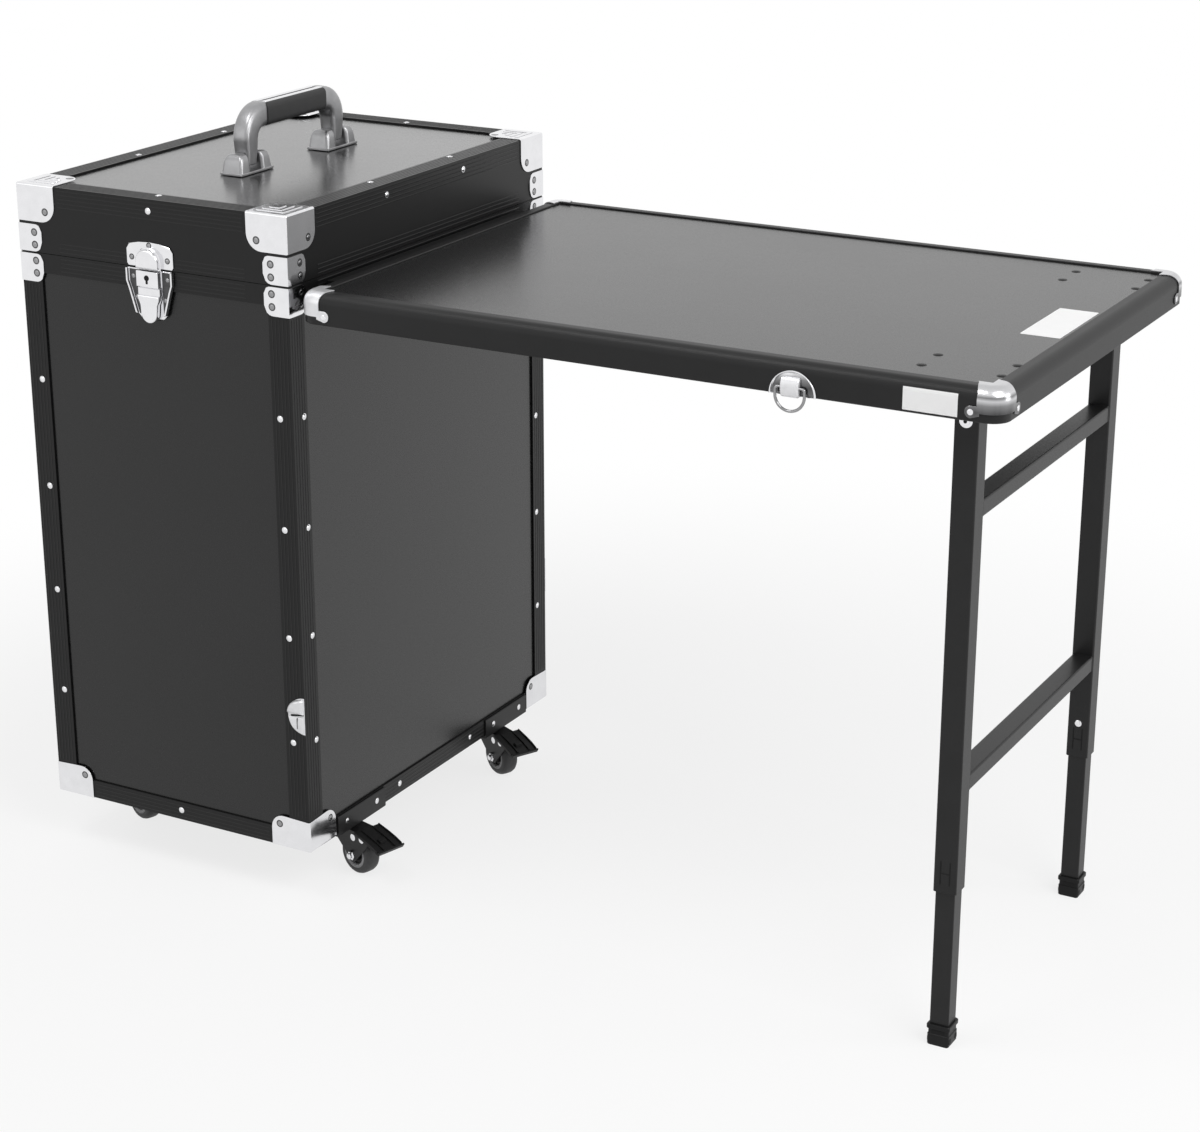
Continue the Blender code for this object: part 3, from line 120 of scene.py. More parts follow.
class Value:
    """A socket that takes part in arithmetic like a number."""

    def __init__(self, tree, socket):
        self.tree = tree
        self.socket = socket

    def math(self, operation, first, second):
        return self.tree.node("ShaderNodeMath", {0: first, 1: second}, operation=operation)

    def __add__(self, other):
        return self.math("ADD", self, other)

    def __radd__(self, other):
        return self.math("ADD", other, self)

    def __mul__(self, other):
        return self.math("MULTIPLY", self, other)

    def __rmul__(self, other):
        return self.math("MULTIPLY", other, self)

    def most(self, other):
        return self.math("MAXIMUM", self, other)


class Tree:
    """A tree of nodes, filled by one method."""

    def __init__(self, group):
        self.group = group

    def node(self, kind, sockets=None, output=0, stops=(), **settings):
        """Adds any node: its settings first, then the values or links of its sockets."""
        made = self.group.nodes.new(kind)
        for key, value in settings.items():
            setattr(made, key, value)
        for position, _ in stops[2:]:
            made.color_ramp.elements.new(position)
        for k, (position, level) in enumerate(stops):
            made.color_ramp.elements[k].position = position
            made.color_ramp.elements[k].color = (level, level, level, 1.0)
        self.fill(made, sockets or {})
        return Value(self, made.outputs[output])

    def fill(self, node, sockets):
        for key, value in sockets.items():
            if isinstance(value, Value):
                self.group.links.new(value.socket, node.inputs[key])
            else:
                node.inputs[key].default_value = value

    def seen(self):
        """One on rays from the camera, a mirror or glass, and nought on those that carry light."""
        camera, mirror, glass = (
            self.node("ShaderNodeLightPath", output=f"Is {kind} Ray")
            for kind in ("Camera", "Glossy", "Transmission")
        )
        return camera.most(mirror).most(glass)


# Places of the colour sockets among a Mix node's inputs and outputs
COLOUR_A, COLOUR_B, COLOUR_RESULT = 6, 7, 2
SHADER_SOCKETS = {
    "metallic": "Metallic",
    "specular": "Specular IOR Level",
    "coat": "Coat Weight",
    "coat_roughness": "Coat Roughness",
    "coat_ior": "Coat IOR",
}


class Finish(Tree):
    """A material with one glossy shader and the nodes that vary it."""

    def __init__(self, name, **constants):
        self.material = bpy.data.materials.new(name)
        self.material.use_nodes = True
        super().__init__(self.material.node_tree)
        self.shader = self.group.nodes["Principled BSDF"]
        for key, value in constants.items():
            self.set(SHADER_SOCKETS[key], value)
        self.place = self.node("ShaderNodeTexCoord", output="Object")

    def set(self, socket, value):
        self.fill(self.shader, {socket: value})

    def noise(self, scale, detail=3.0, roughness=0.55, stretch=None):
        """Noise on the object's own coordinates, from 0 to 1, with scale in lumps per metre."""
        place = self.place
        if stretch:
            place = self.node("ShaderNodeMapping", {"Vector": place, "Scale": stretch})
        sockets = {"Vector": place, "Scale": scale, "Detail": detail, "Roughness": roughness}
        return self.node("ShaderNodeTexNoise", sockets)

    def colour(self, dark, light, amount):
        """Base colour between two colours."""
        sockets = {"Factor": amount, COLOUR_A: (*dark, 1.0), COLOUR_B: (*light, 1.0)}
        self.set("Base Color", self.node("ShaderNodeMix", sockets, COLOUR_RESULT, data_type="RGBA"))

    def bump(self, height, distance, strength):
        sockets = {"Height": height, "Distance": distance, "Strength": strength}
        self.set("Normal", self.node("ShaderNodeBump", sockets))


def grey(level, blue=1.02):
    return (level, level, level * blue)


def smeared(name, dark, light, smear, rough, relief, **constants):
    """A finish of one noise, which tints it, roughens it and gives its relief, if any."""
    finish = Finish(name, **constants)
    cloud = finish.noise(*smear)
    finish.colour(dark, light, cloud)
    finish.set("Roughness", rough[0] + cloud * rough[1])
    if relief:
        finish.bump(cloud, *relief)
    return finish.material


def grained(name, dark, light, fine, broad, rough, relief, share=0.0, **constants):
    """A finish of a fine grain, which gives the relief, and broad clouds.

    The grain has a share of the tint, and rough holds a base and what grain and clouds add to it.
    """
    finish = Finish(name, **constants)
    grain, cloud = finish.noise(*fine), finish.noise(*broad)
    finish.colour(dark, light, grain * share + cloud * (1 - share) if share else cloud)
    base, from_grain, from_cloud = rough
    roughness = base + grain * from_grain
    finish.set("Roughness", roughness + cloud * from_cloud if from_cloud else roughness)
    finish.bump(grain, *relief)
    return finish.material


def laminate(name, coat):
    """Black board faced with a fine pebbled laminate under a clear coat."""
    return grained(
        name, grey(0.004), grey(0.009), fine=(900.0, 2.0), broad=(9.0, 3.0), share=0.55,
        rough=(0.20, 0.09, 0.06), relief=(0.00012, 0.35),
        specular=0.06, coat=coat, coat_roughness=0.22, coat_ior=1.4,
    )


def brushed_cap():
    """Pressed sheet with faint upright streaks, its colour a painted reflection in level bands set by height.
    """
    finish = Finish("brushed_cap", metallic=1.0)
    streak = finish.noise(300.0, 3.0, 0.5, (1.0, 1.0, 0.06))
    band = finish.noise(60.0, 1.0, 0.4, (1.0, 1.0, 0.10))
    # Painted reflection: dark and light bands by height between the table's lower and upper edge
    height = finish.node("ShaderNodeSeparateXYZ", {0: finish.place}, output=2)
    reach = {"Value": height, "From Min": TABLE_BOTTOM * MM, "From Max": TABLE_TOP * MM}
    level = finish.node("ShaderNodeMapRange", reach)
    stops = ((0.0, 0.16), (0.30, 0.03), (0.52, 0.26), (0.66, 0.85), (0.75, 0.20), (0.84, 0.95), (1.0, 0.80))
    painted_reflection_bands = finish.node("ShaderNodeValToRGB", {0: level}, stops=stops)
    finish.colour(grey(0.02), grey(0.74), painted_reflection_bands * 0.84 + band * 0.10 + streak * 0.06)
    finish.set("Roughness", 0.20 + streak * 0.10)
    finish.bump(streak, 0.00002, 0.2)
    return finish.material


LAMINATE, BOARD = laminate("black_laminate", 1.0), laminate("table_laminate", 0.6)
# Black anodised edge profile with a faint drawn grain
PROFILE = grained(
    "black_profile", grey(0.003), grey(0.007), fine=(160.0, 3.0, 0.6, (6.0, 6.0, 1.0)), broad=(45.0, 4.0),
    share=0.6, rough=(0.26, 0.12, 0.05), relief=(0.00006, 0.3), specular=0.26,
)
# Bright plated steel sheet with fine polishing marks
BRIGHT = grained(
    "bright_sheet", grey(0.74), grey(0.86), fine=(420.0, 3.0, 0.6, (1.0, 1.0, 5.0)), broad=(70.0, 3.0),
    rough=(0.07, 0.06, 0.06), relief=(0.00002, 0.15), metallic=1.0,
)
# Outer table caps and dish dome: streaked sheet whose colour is a painted reflection in bands
BRUSHED_PAINTED_REFLECTION = brushed_cap()
# Painted shade: near-black steel for the dimples round rivets, the insides of bright fittings and a crease
SHADED = smeared("shaded_steel", grey(0.05), grey(0.11), (240.0,), (0.28, 0.14), (0.00003, 0.3), metallic=1.0)
# Pressed zinc sheet, paler and less of a mirror than the plated steel
ZINC = smeared("satin_zinc", grey(0.66), grey(0.84), (150.0,), (0.26, 0.12), (0.00003, 0.3), metallic=0.55)
# Round steel wire, duller than the sheet
WIRE = smeared("bent_wire", grey(0.24), grey(0.36), (260.0,), (0.10, 0.08), (0.00002, 0.2), metallic=1.0)
# Matt black moulding round the table
TRIM = grained(
    "edge_trim", grey(0.006), grey(0.011), fine=(1000.0, 2.0), broad=(25.0, 3.0),
    rough=(0.36, 0.10, 0.05), relief=(0.00008, 0.3), specular=0.26,
)
# Silver-grey cast handle metal
SATIN = grained(
    "satin_metal", grey(0.22), grey(0.42), fine=(500.0, 3.0), broad=(60.0, 4.0),
    rough=(0.24, 0.10, 0.06), relief=(0.00005, 0.3), metallic=0.9,
)
RUBBER = grained(
    "grip_rubber", grey(0.010), grey(0.020), fine=(1400.0, 2.0), broad=(80.0, 3.0),
    rough=(0.52, 0.16, 0.0), relief=(0.0001, 0.4),
)
# Satin black powder coat with a slight orange peel
COAT = grained(
    "powder_coat", grey(0.008), grey(0.015), fine=(650.0, 2.0), broad=(30.0, 3.0),
    rough=(0.34, 0.12, 0.05), relief=(0.00010, 0.35), specular=0.18, coat=0.16, coat_roughness=0.25,
)
PLASTIC = grained(
    "moulded_plastic", grey(0.006), grey(0.012), fine=(1100.0, 2.0), broad=(50.0, 3.0),
    rough=(0.34, 0.14, 0.0), relief=(0.00008, 0.4), specular=0.16,
)
TYRE = grained(
    "tyre_rubber", grey(0.022), grey(0.060), fine=(260.0, 4.0, 0.65), broad=(55.0, 3.0), share=0.7,
    rough=(0.46, 0.2, 0.0), relief=(0.00015, 0.35), specular=0.4,
)
DISC = smeared("wheel_disc", grey(0.20), grey(0.30), (200.0, 4.0), (0.34, 0.15), (0.00006, 0.3), specular=0.5)
LABEL = grained(
    "blank_label", grey(0.86, 1.0), grey(0.94, 1.0), fine=(900.0, 3.0), broad=(40.0, 3.0),
    rough=(0.36, 0.12, 0.0), relief=(0.00003, 0.3), specular=0.4,
)
# The shade inside key slots, sockets and screw recesses
HOLE = smeared("dark_hole", grey(0.004), grey(0.009), (300.0,), (0.6, 0.2), None, specular=0.2)


# Building meshes


def put(name, data):
    """A new object in the scene."""
    obj = bpy.data.objects.new(name, data)
    bpy.context.scene.collection.objects.link(obj)
    return obj


def object_from(bm, name, materials, move=TO_METRES):
    """Turns a mesh in the making into an object at the origin."""
    mesh = bpy.data.meshes.new(name)
    bm.to_mesh(mesh)
    bm.free()
    mesh.transform(move)
    for material in materials:
        mesh.materials.append(material)
    return put(name, mesh)


class Shape:
    """A mesh in the making, put together from closed parts."""

    def __init__(self):
        self.bm = bmesh.new()
        self.slots = []

    def faces(self, verts_of_faces, material):
        if material not in self.slots:
            self.slots.append(material)
        for verts in verts_of_faces:
            self.bm.faces.new(verts).material_index = self.slots.index(material)

    def skin(self, loops, material, ring, closed=True):
        """Covers rows of points: ring joins the last row to the first, closed joins each row's ends."""
        rows = [[self.bm.verts.new(point) for point in loop] for loop in loops]
        count = len(rows[0])
        for row, following in zip(rows, rows[1:] + rows[:1] if ring else rows[1:]):
            for i in range(count if closed else count - 1):
                j = (i + 1) % count
                self.faces([(row[i], row[j], following[j], following[i])], material)
        return rows

    def loft(self, loops, material, ring=False):
        """Joins loops of equal length into a closed body, or into a closed ring of loops."""
        rows = self.skin(loops, material, ring)
        if not ring:
            self.faces([rows[0], rows[-1]], material)

    def extrude(self, outline, axis, start, end, material, edge=0.0):
        """Pushes an outline along an axis, with its rims drawn in by edge."""
        depths = [(start, 0.0), (end, 0.0)]
        if edge:
            depths = [(start, edge), (start + edge, 0.0), (end - edge, 0.0), (end, edge)]
        loops = [[across(axis, a, b, depth) for a, b in shrink(outline, inset)] for depth, inset in depths]
        self.loft(loops, material)

    def block(self, low, high, material, edge):
        """A box whose edges are all drawn in by edge."""
        low, high = Vector(low), Vector(high)
        self.extrude(rounded(low.xy, high.xy, edge, 2), "z", low.z, high.z, material, edge * 0.6)

    def turn(self, section, axis, centre, material, steps, closed=False):
        """Spins a section of (along, radius) pairs about an axis through the centre."""
        loops = []
        for angle in steps_of(0, 360, steps)[:-1]:
            c, s = math.cos(angle), math.sin(angle)
            loops.append([Vector(centre) + Vector(across(axis, r * c, r * s, along)) for along, r in section])
        rows = self.skin(loops, material, True, closed)
        if not closed:
            self.faces([[row[i] for row in rows] for i in (0, -1)], material)

    def object(self, name, place=Matrix()):
        """The finished mesh as an object, its faces turned outwards."""
        bmesh.ops.remove_doubles(self.bm, verts=self.bm.verts, dist=TOUCHING)
        bmesh.ops.recalc_face_normals(self.bm, faces=self.bm.faces)
        return object_from(self.bm, name, self.slots, place @ TO_METRES)

    def piece(self, name, body, slot, *nodes, place=Matrix(), smooth=35.0):
        """The finished mesh as a piece of the object."""
        finish_piece(self.object(name, place), body, slot, *nodes, smooth=smooth)


def across(axis, a, b, along):
    """A point from its place in the plane across an axis and its depth along it."""
    return {"x": (along, a, b), "y": (a, along, b), "z": (a, b, along)}[axis]


def steps_of(first, last, count):
    """Angles in radians from one angle in degrees to another."""
    return [math.radians(first + (last - first) * k / count) for k in range(count + 1)]


def arc(centre, radius, first, last, steps):
    return [
        (centre[0] + radius * math.cos(angle), centre[1] + radius * math.sin(angle))
        for angle in steps_of(first, last, steps)
    ]


def rounded(low, high, radius, steps=4):
    """A rectangle with rounded corners."""
    (x0, y0), (x1, y1) = low, high
    if radius == 0.0:
        return [(x1, y1), (x0, y1), (x0, y0), (x1, y0)]
    centres = ((x1 - radius, y1 - radius), (x0 + radius, y1 - radius))
    centres += ((x0 + radius, y0 + radius), (x1 - radius, y0 + radius))
    points = []
    for quarter, centre in enumerate(centres):
        points += arc(centre, radius, 90 * quarter, 90 * quarter + 90, steps)
    return points


def around(x, y, half_x, half_y, radius, steps=2):
    """A rounded rectangle about its middle."""
    return rounded((x - half_x, y - half_y), (x + half_x, y + half_y), radius, steps)


def shrink(outline, inset):
    """Moves each point of an outline inwards by about inset, along the mean of its edges' normals."""
    if inset == 0.0:
        return outline
    area = sum(a[0] * b[1] - b[0] * a[1] for a, b in zip(outline, outline[1:] + outline[:1]))
    side = 1.0 if area > 0 else -1.0
    moved = []
    for i in range(len(outline)):
        here, before, after = (Vector(outline[k % len(outline)]) for k in (i, i - 1, i + 1))
        first, second = (here - before).normalized(), (after - here).normalized()
        normal = Vector((-(first.y + second.y), first.x + second.x)) * side
        size = max(normal.length, 1e-9)
        moved.append(tuple(here + normal / size * (inset / max(size / 2, 0.5))))
    return moved


def apply_modifiers(obj):
    """Turns an object's modifiers into a plain mesh."""
    graph = bpy.context.evaluated_depsgraph_get()
    obj.data = bpy.data.meshes.new_from_object(obj.evaluated_get(graph))
    obj.modifiers.clear()
    return obj


def wall_from(bm, name, outward, thickness, material):
    """Turns an open sheet into a thin closed wall, thickened away from the outward side."""
    bmesh.ops.recalc_face_normals(bm, faces=bm.faces)
    if sum(face.normal.dot(outward) * face.calc_area() for face in bm.faces) < 0:
        bmesh.ops.reverse_faces(bm, faces=bm.faces)
    obj = object_from(bm, name, [material])
    wall = obj.modifiers.new("wall", "SOLIDIFY")
    wall.thickness = thickness * MM
    wall.offset = -1.0
    return apply_modifiers(obj)


def merge(name, objects):
    """Puts several meshes of one material into one object."""
    bm = bmesh.new()
    for obj in objects:
        bm.from_mesh(obj.data)
    made = object_from(bm, name, list(objects[0].data.materials), Matrix())
    for obj in objects:
        bpy.data.objects.remove(obj)
    return made


def finish_piece(obj, body, slot, *nodes, smooth=35.0):
    """Shades a piece, hangs it on its body and hides the solids that it stands for."""
    obj.data.shade_smooth()
    obj.data.set_sharp_from_angle(angle=math.radians(smooth))
    level = obj.modifiers.new("level", "WEIGHTED_NORMAL")
    level.keep_sharp = True
    level.weight = FLAT_FACE_WEIGHT
    apply_modifiers(obj)
    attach(obj, body)
    if nodes:
        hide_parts(*nodes)


# Node trees for what repeats


def tree_with(name, **inputs):
    """A geometry tree with the values of its named inputs."""
    group = bpy.data.node_groups.new(name, "GeometryNodeTree")
    labels = {"Geometry": "Geometry", **inputs, "Finish": "Material"}
    for label, kind in labels.items():
        group.interface.new_socket(label, in_out="INPUT", socket_type=f"NodeSocket{kind}")
    group.interface.new_socket("Geometry", in_out="OUTPUT", socket_type="NodeSocketGeometry")
    given = group.nodes.new("NodeGroupInput")
    tree = Tree(group)
    return tree, {label: Value(tree, given.outputs[label]) for label in labels}


def end_tree(tree, given, points, instance, **turning):
    """Sets the instance on the points and closes the tree."""
    placed = tree.node("GeometryNodeInstanceOnPoints", {"Points": points, "Instance": instance, **turning})
    real = tree.node("GeometryNodeRealizeInstances", {"Geometry": placed})
    painted = tree.node("GeometryNodeSetMaterial", {"Geometry": real, "Material": given["Finish"]})
    tree.fill(tree.group.nodes.new("NodeGroupOutput"), {0: painted})
    return tree.group


def rivet_tree():
    """A domed head on a thin flange at each point, turned along the point's facing."""
    tree, given = tree_with("rivet_heads", Radius="Float", Rise="Float")
    radius, rise = given["Radius"], given["Rise"]
    points = tree.node("GeometryNodeMeshToPoints", {"Mesh": given["Geometry"]})
    facing = tree.node("GeometryNodeInputNamedAttribute", {"Name": "facing"}, data_type="FLOAT_VECTOR")
    turn = tree.node("FunctionNodeAlignRotationToVector", {"Vector": facing}, axis="Z")
    ball = tree.node("GeometryNodeMeshUVSphere", {"Segments": 16, "Rings": 10, "Radius": 1.0}, "Mesh")
    size = tree.node("ShaderNodeCombineXYZ", {"X": radius, "Y": radius, "Z": rise})
    head = tree.node("GeometryNodeTransform", {"Geometry": ball, "Scale": size})
    disc = {"Vertices": 16, "Radius": radius * 1.18, "Depth": rise * 0.5}
    flange = tree.node("GeometryNodeMeshCylinder", disc, "Mesh")
    both = tree.node("GeometryNodeJoinGeometry", {0: flange})
    tree.fill(both.socket.node, {0: head})
    return end_tree(tree, given, points, both, Rotation=turn)


def flute_tree():
    """A row of fine ribs: the first from Start along Run, each next one a Step further."""
    tree, given = tree_with(
        "profile_flutes", Start="Vector", Run="Vector", Step="Vector", Count="Int", Radius="Float"
    )
    spread = {"Count": given["Count"], "Start Location": given["Start"], "Offset": given["Step"]}
    row = tree.node("GeometryNodeMeshLine", spread)
    line = tree.node("GeometryNodeCurvePrimitiveLine", {"End": given["Run"]})
    ring = tree.node("GeometryNodeCurvePrimitiveCircle", {"Resolution": 8, "Radius": given["Radius"]})
    rib = tree.node("GeometryNodeCurveToMesh", {"Curve": line, "Profile Curve": ring, "Fill Caps": True})
    return end_tree(tree, given, row, rib)


RIVETS, FLUTES = rivet_tree(), flute_tree()


def grow_tree(obj, group, **values):
    """Runs a tree on an object and keeps its result as a plain mesh."""
    modifier = obj.modifiers.new("grow", "NODES")
    modifier.node_group = group
    for item in group.interface.items_tree:
        if item.in_out == "INPUT" and item.name in values:
            modifier[item.identifier] = values[item.name]
    return apply_modifiers(obj)


def rivets(name, body, spots, radius=RIVET_RADIUS, rise=RIVET_RISE, material=BRIGHT, slot="bright_steel"):
    """Rivet heads at (point, direction) pairs."""
    mesh = bpy.data.meshes.new(name)
    mesh.from_pydata([point * MM for point, _ in spots], [], [])
    facing = mesh.attributes.new("facing", "FLOAT_VECTOR", "POINT")
    facing.data.foreach_set("vector", [value for _, way in spots for value in way])
    heads = grow_tree(put(name, mesh), RIVETS, Radius=radius * MM, Rise=rise * MM, Finish=material)
    finish_piece(heads, body, slot, smooth=50.0)


def set_rivets(name, body, spots, radius=SMALL_RIVET_RADIUS, rise=CAP_RIVET_RISE):
    """Duller rivet heads, each on a thin dark disc of painted shade that stands for its dimple in the sheet
    that it holds.
    """
    rivets(f"{name}_dimple_shade", body, spots, radius * DIMPLE_SHADE_SIZE, DIMPLE_SHADE_RISE, SHADED)
    rivets(name, body, spots, radius, rise, WIRE)


def flutes(name, body, rows):
    """Ribs on flat profile faces: rows of (start, run, step, count, face normal)."""
    made = []
    for k, (start, run, step, count, normal) in enumerate(rows):
        sunk = Vector(start) - normal * (FLUTE_RADIUS - FLUTE_RISE)
        places = {"Start": sunk, "Run": run, "Step": step}
        sizes = {label: tuple(vector * MM) for label, vector in places.items()}
        sizes.update(Count=count, Radius=FLUTE_RADIUS * MM, Finish=PROFILE)
        made.append(grow_tree(put(f"{name}_{k}", bpy.data.meshes.new(f"{name}_{k}")), FLUTES, **sizes))
    finish_piece(merge(name, made), body, "black_profile")


# Case and lid


def corners():
    """Name, x, y and inward directions of the case's four corners."""
    for x_name, x, x_in in (("left", LEFT, 1), ("right", RIGHT, -1)):
        for y_name, y, y_in in (("front", FRONT, 1), ("rear", REAR, -1)):
            yield f"{y_name}_{x_name}", x, y, x_in, y_in


def cap_sheet(name, corner, inward, height, lobe, dip):
    """A pressed cap: three faces round a corner, their far corners rounded to the lobe radius."""
    near = corner - inward * CAP_PROUD
    far = corner + inward * Vector((CAP_REACH, CAP_REACH, height))
    bm = bmesh.new()
    bmesh.ops.create_cube(bm, size=1.0)
    for vert in bm.verts:
        vert.co = Vector((max if vert.co[i] > 0 else min)(near[i], far[i]) for i in range(3))
    for meeting, offset, segments in ((far, lobe, 8), (near, CAP_EDGE_ROUND, 4)):
        edges = [edge for edge in bm.edges if any((v.co - meeting).length < TOUCHING for v in edge.verts)]
        bmesh.ops.bevel(bm, geom=edges, offset=offset, segments=segments, profile=0.5, affect="EDGES")
    stray = [face for face in bm.faces if face.normal.dot(inward) > 0.3]
    bmesh.ops.delete(bm, geom=stray, context="FACES")
    for vert in bm.verts:
        offset = vert.co - near
        nearness = 1 - min(max(abs(offset.x), abs(offset.y)) / CAP_REACH, 1.0)
        vert.co.z -= inward.z * dip * nearness * abs(offset.z) / height
    sheet = wall_from(bm, name, -inward, CAP_SHEET, BRIGHT)
    soft = sheet.modifiers.new("soften", "BEVEL")
    soft.width = CAP_EDGE_SOFT * MM
    soft.segments = 2
    soft.limit_method = "ANGLE"
    soft.angle_limit = math.radians(50.0)
    return apply_modifiers(sheet)


def cap_ridges(corner, inward):
    """Three nested raised angles on a lid cap's top."""
    shape = Shape()
    top = corner.z + CAP_PROUD
    half = RIDGE_WIDTH / 2
    for near, end in ((8.0, 43.0), (16.5, 41.0), (25.0, 38.0)):
        far = near + RIDGE_WIDTH
        arm = [(near, near), (end, near), (end + half, near + half), (end, far)]
        outline = arm + [(far, far)] + [(b, a) for a, b in reversed(arm[1:])]
        placed = [(corner.x + inward.x * a, corner.y + inward.y * b) for a, b in outline]
        shape.extrude(placed, "z", top - 0.4, top + 0.8, BRIGHT, 0.7)
    return shape.object("ridges")


def make_caps():
    for name, x, y, x_in, y_in in corners():
        corner, inward = Vector((x, y, TOP)), Vector((x_in, y_in, -1))
        sheet = cap_sheet("cap", corner, inward, LID_CAP_HEIGHT, LID_CAP_LOBE, 0.0)
        cap = merge(f"lid_corner_{name}", [sheet, cap_ridges(corner, inward)])
        finish_piece(cap, "lid", "bright_steel", f"lid_cap_{name}")
        corner, inward = Vector((x, y, BOTTOM)), Vector((x_in, y_in, 1))
        cap = cap_sheet(f"base_corner_{name}", corner, inward, BASE_CAP_HEIGHT, BASE_CAP_LOBE, BASE_CAP_DIP)
        finish_piece(cap, "case", "bright_steel", f"base_cap_{name}")


def bent_bracket(name, x, y, x_in, y_in, low, high):
    """A two-holed plate bent round a vertical edge, its free corners rounded."""
    bm = bmesh.new()
    previous = None
    for k in range(-BRACKET_STEPS, BRACKET_STEPS + 1):
        run = abs(k) / BRACKET_STEPS * BRACKET_WIDTH
        drops = []
        for radius in (BRACKET_LOWER_ROUND, BRACKET_UPPER_ROUND):
            past = max(0.0, run - (BRACKET_WIDTH - radius))
            drops.append(radius - math.sqrt(max(radius**2 - past**2, 0.0)))
        if k < 0:
            spot = (x + x_in * run, y - y_in * CAP_PROUD)
        elif k > 0:
            spot = (x - x_in * CAP_PROUD, y + y_in * run)
        else:
            spot = (x - x_in * CAP_PROUD * 0.75, y - y_in * CAP_PROUD * 0.75)
        pair = [bm.verts.new((*spot, z)) for z in (low + drops[0], high - drops[1])]
        if previous:
            bm.faces.new((previous[0], pair[0], pair[1], previous[1]))
        previous = pair
    return wall_from(bm, name, Vector((-x_in, -y_in, 0)), CAP_SHEET, BRIGHT)


def make_brackets():
    for name, *place in corners():
        for kind, body, low, high in (("lid", "lid", 1.2, 32), ("body", "case", -33, -1.2)):
            plate = bent_bracket(f"{kind}_bracket_{name}", *place, SPLIT + low, SPLIT + high)
            finish_piece(plate, body, "bright_steel", smooth=50.0)


def make_case_rivets():
    case, lid, case_caps, lid_caps = [], [], [], []
    for way, face in ((-Y, 0), (Y, CASE_DEPTH)):
        case += [(at(x, face, z), way) for x in FRONT_RIVETS for z in POST_RIVETS]
        case.append((at(-CASE_WIDTH / 2, face, BASE_RAIL_LEVEL), way))
        lid.append((at(-CASE_WIDTH / 2, face, LID_FRONT_LEVEL), way))
    for way, face in ((X, 0), (-X, -CASE_WIDTH)):
        case += [(at(face, y, z), way) for y in SIDE_RIVETS for z in POST_RIVETS]
        case += [(at(face, y, BASE_RAIL_LEVEL), way) for y in BASE_RAIL_RIVETS]
        lid += [(at(face, y, LID_SIDE_LEVEL), way) for y in LID_RAIL_RIVETS]
    lid += [(at(x, y, CASE_HEIGHT), Z) for x in (-20, -340) for y in LID_TOP_RIVETS]
    lid += [(at(-CASE_WIDTH / 2, y, CASE_HEIGHT), Z) for y in SIDE_RIVETS]
    for _, x, y, x_in, y_in in corners():

        def pair(along, z):
            """The two spots beside a corner's edge."""
            return [
                (Vector((x + x_in * along, y - y_in * CAP_PROUD, z)), Y * -y_in),
                (Vector((x - x_in * CAP_PROUD, y + y_in * along, z)), X * -x_in),
            ]

        lid_caps += pair(38, TOP - 29)
        lid_caps.append((Vector((x + x_in * 41, y + y_in * 41, TOP + CAP_PROUD)), Z))
        case_caps += pair(40, BOTTOM + 27)
        for z in BRACKET_RIVETS:
            lid_caps += pair(BRACKET_RIVET_IN, SPLIT + z)
            case_caps += pair(BRACKET_RIVET_IN, SPLIT - z)
    rivets("case_rivets", "case", case)
    rivets("lid_rivets", "lid", lid)
    set_rivets("case_corner_rivets", "case", case_caps)
    set_rivets("lid_corner_rivets", "lid", lid_caps)


def make_flutes():
    """Fine ribs along the edge profiles, clear of caps and brackets."""
    case, lid = [], []
    pitch, first = FLUTE_PITCH, FIRST_FLUTE
    low, high = BOTTOM + 40, SPLIT - 36
    for _, x, y, x_in, y_in in corners():
        run = Z * (high - low)
        case.append(((x + x_in * first, y, low), run, X * x_in * pitch, 5, Y * -y_in))
        case.append(((x, y + y_in * first, low), run, Y * y_in * pitch, 5, X * -x_in))
    clear = CAP_REACH + first
    along_x, along_y = X * (RIGHT - LEFT - 2 * clear), Y * (REAR - FRONT - 2 * clear)
    rails = [(Vector((LEFT + clear, y, 0)), along_x, way) for y, way in ((FRONT, -Y), (REAR, Y))]
    rails += [(Vector((x, FRONT + clear, 0)), along_y, way) for x, way in ((LEFT, -X), (RIGHT, X))]
    for start, run, way in rails:
        case.append((start + Z * (BOTTOM + first), run, Z * pitch, 4, way))
        case.append((start + Z * (SPLIT - first), run, Z * -pitch, 4, way))
        lid.append((start + Z * (TOP - 3.5), run, Z * -pitch, 5, way))
        lid.append((start + Z * (SPLIT + first), run, Z * pitch, 3, way))
        lid.append((start - way * first + Z * TOP, run, -way * pitch, 5, Z))
    flutes("case_profile_ribs", "case", case)
    flutes("lid_profile_ribs", "lid", lid)


# Draw latch


PILLOW = ((0.0, 0.0), (0.55, 0.0), (0.80, 0.25), (0.93, 0.6), (1.0, 1.25))
DOME = ((0.0, 1.0), (0.34, 0.965), (0.60, 0.88), (0.80, 0.72), (0.93, 0.50), (1.0, 0.22))


def swell(shape, outline, base, peak, material, edge=2.0):
    """Raises an outline along Y into a pillow with a flat face."""
    loops = []
    for share, inset in PILLOW:
        depth = base + (peak - base) * share
        loops.append([across("y", a, b, depth) for a, b in shrink(outline, edge * inset)])
    shape.loft(loops, material)


def dome(shape, outline, base, peak, material):
    """Raises an outline along Y into a dome over its middle."""
    x, z = (sum(point[i] for point in outline) / len(outline) for i in (0, 1))
    loops = []
    for share, size in DOME:
        depth = base + (peak - base) * share
        loops.append([across("y", x + (a - x) * size, z + (b - z) * size, depth) for a, b in outline])
    shape.loft(loops, material)


def both_sides(left, between=()):
    """An outline that is alike on both sides of the case's middle, from (distance, height) pairs."""
    return [
        *[(MIDDLE - a, z) for a, z in left],
        *between,
        *[(MIDDLE + a, z) for a, z in reversed(left)],
    ]


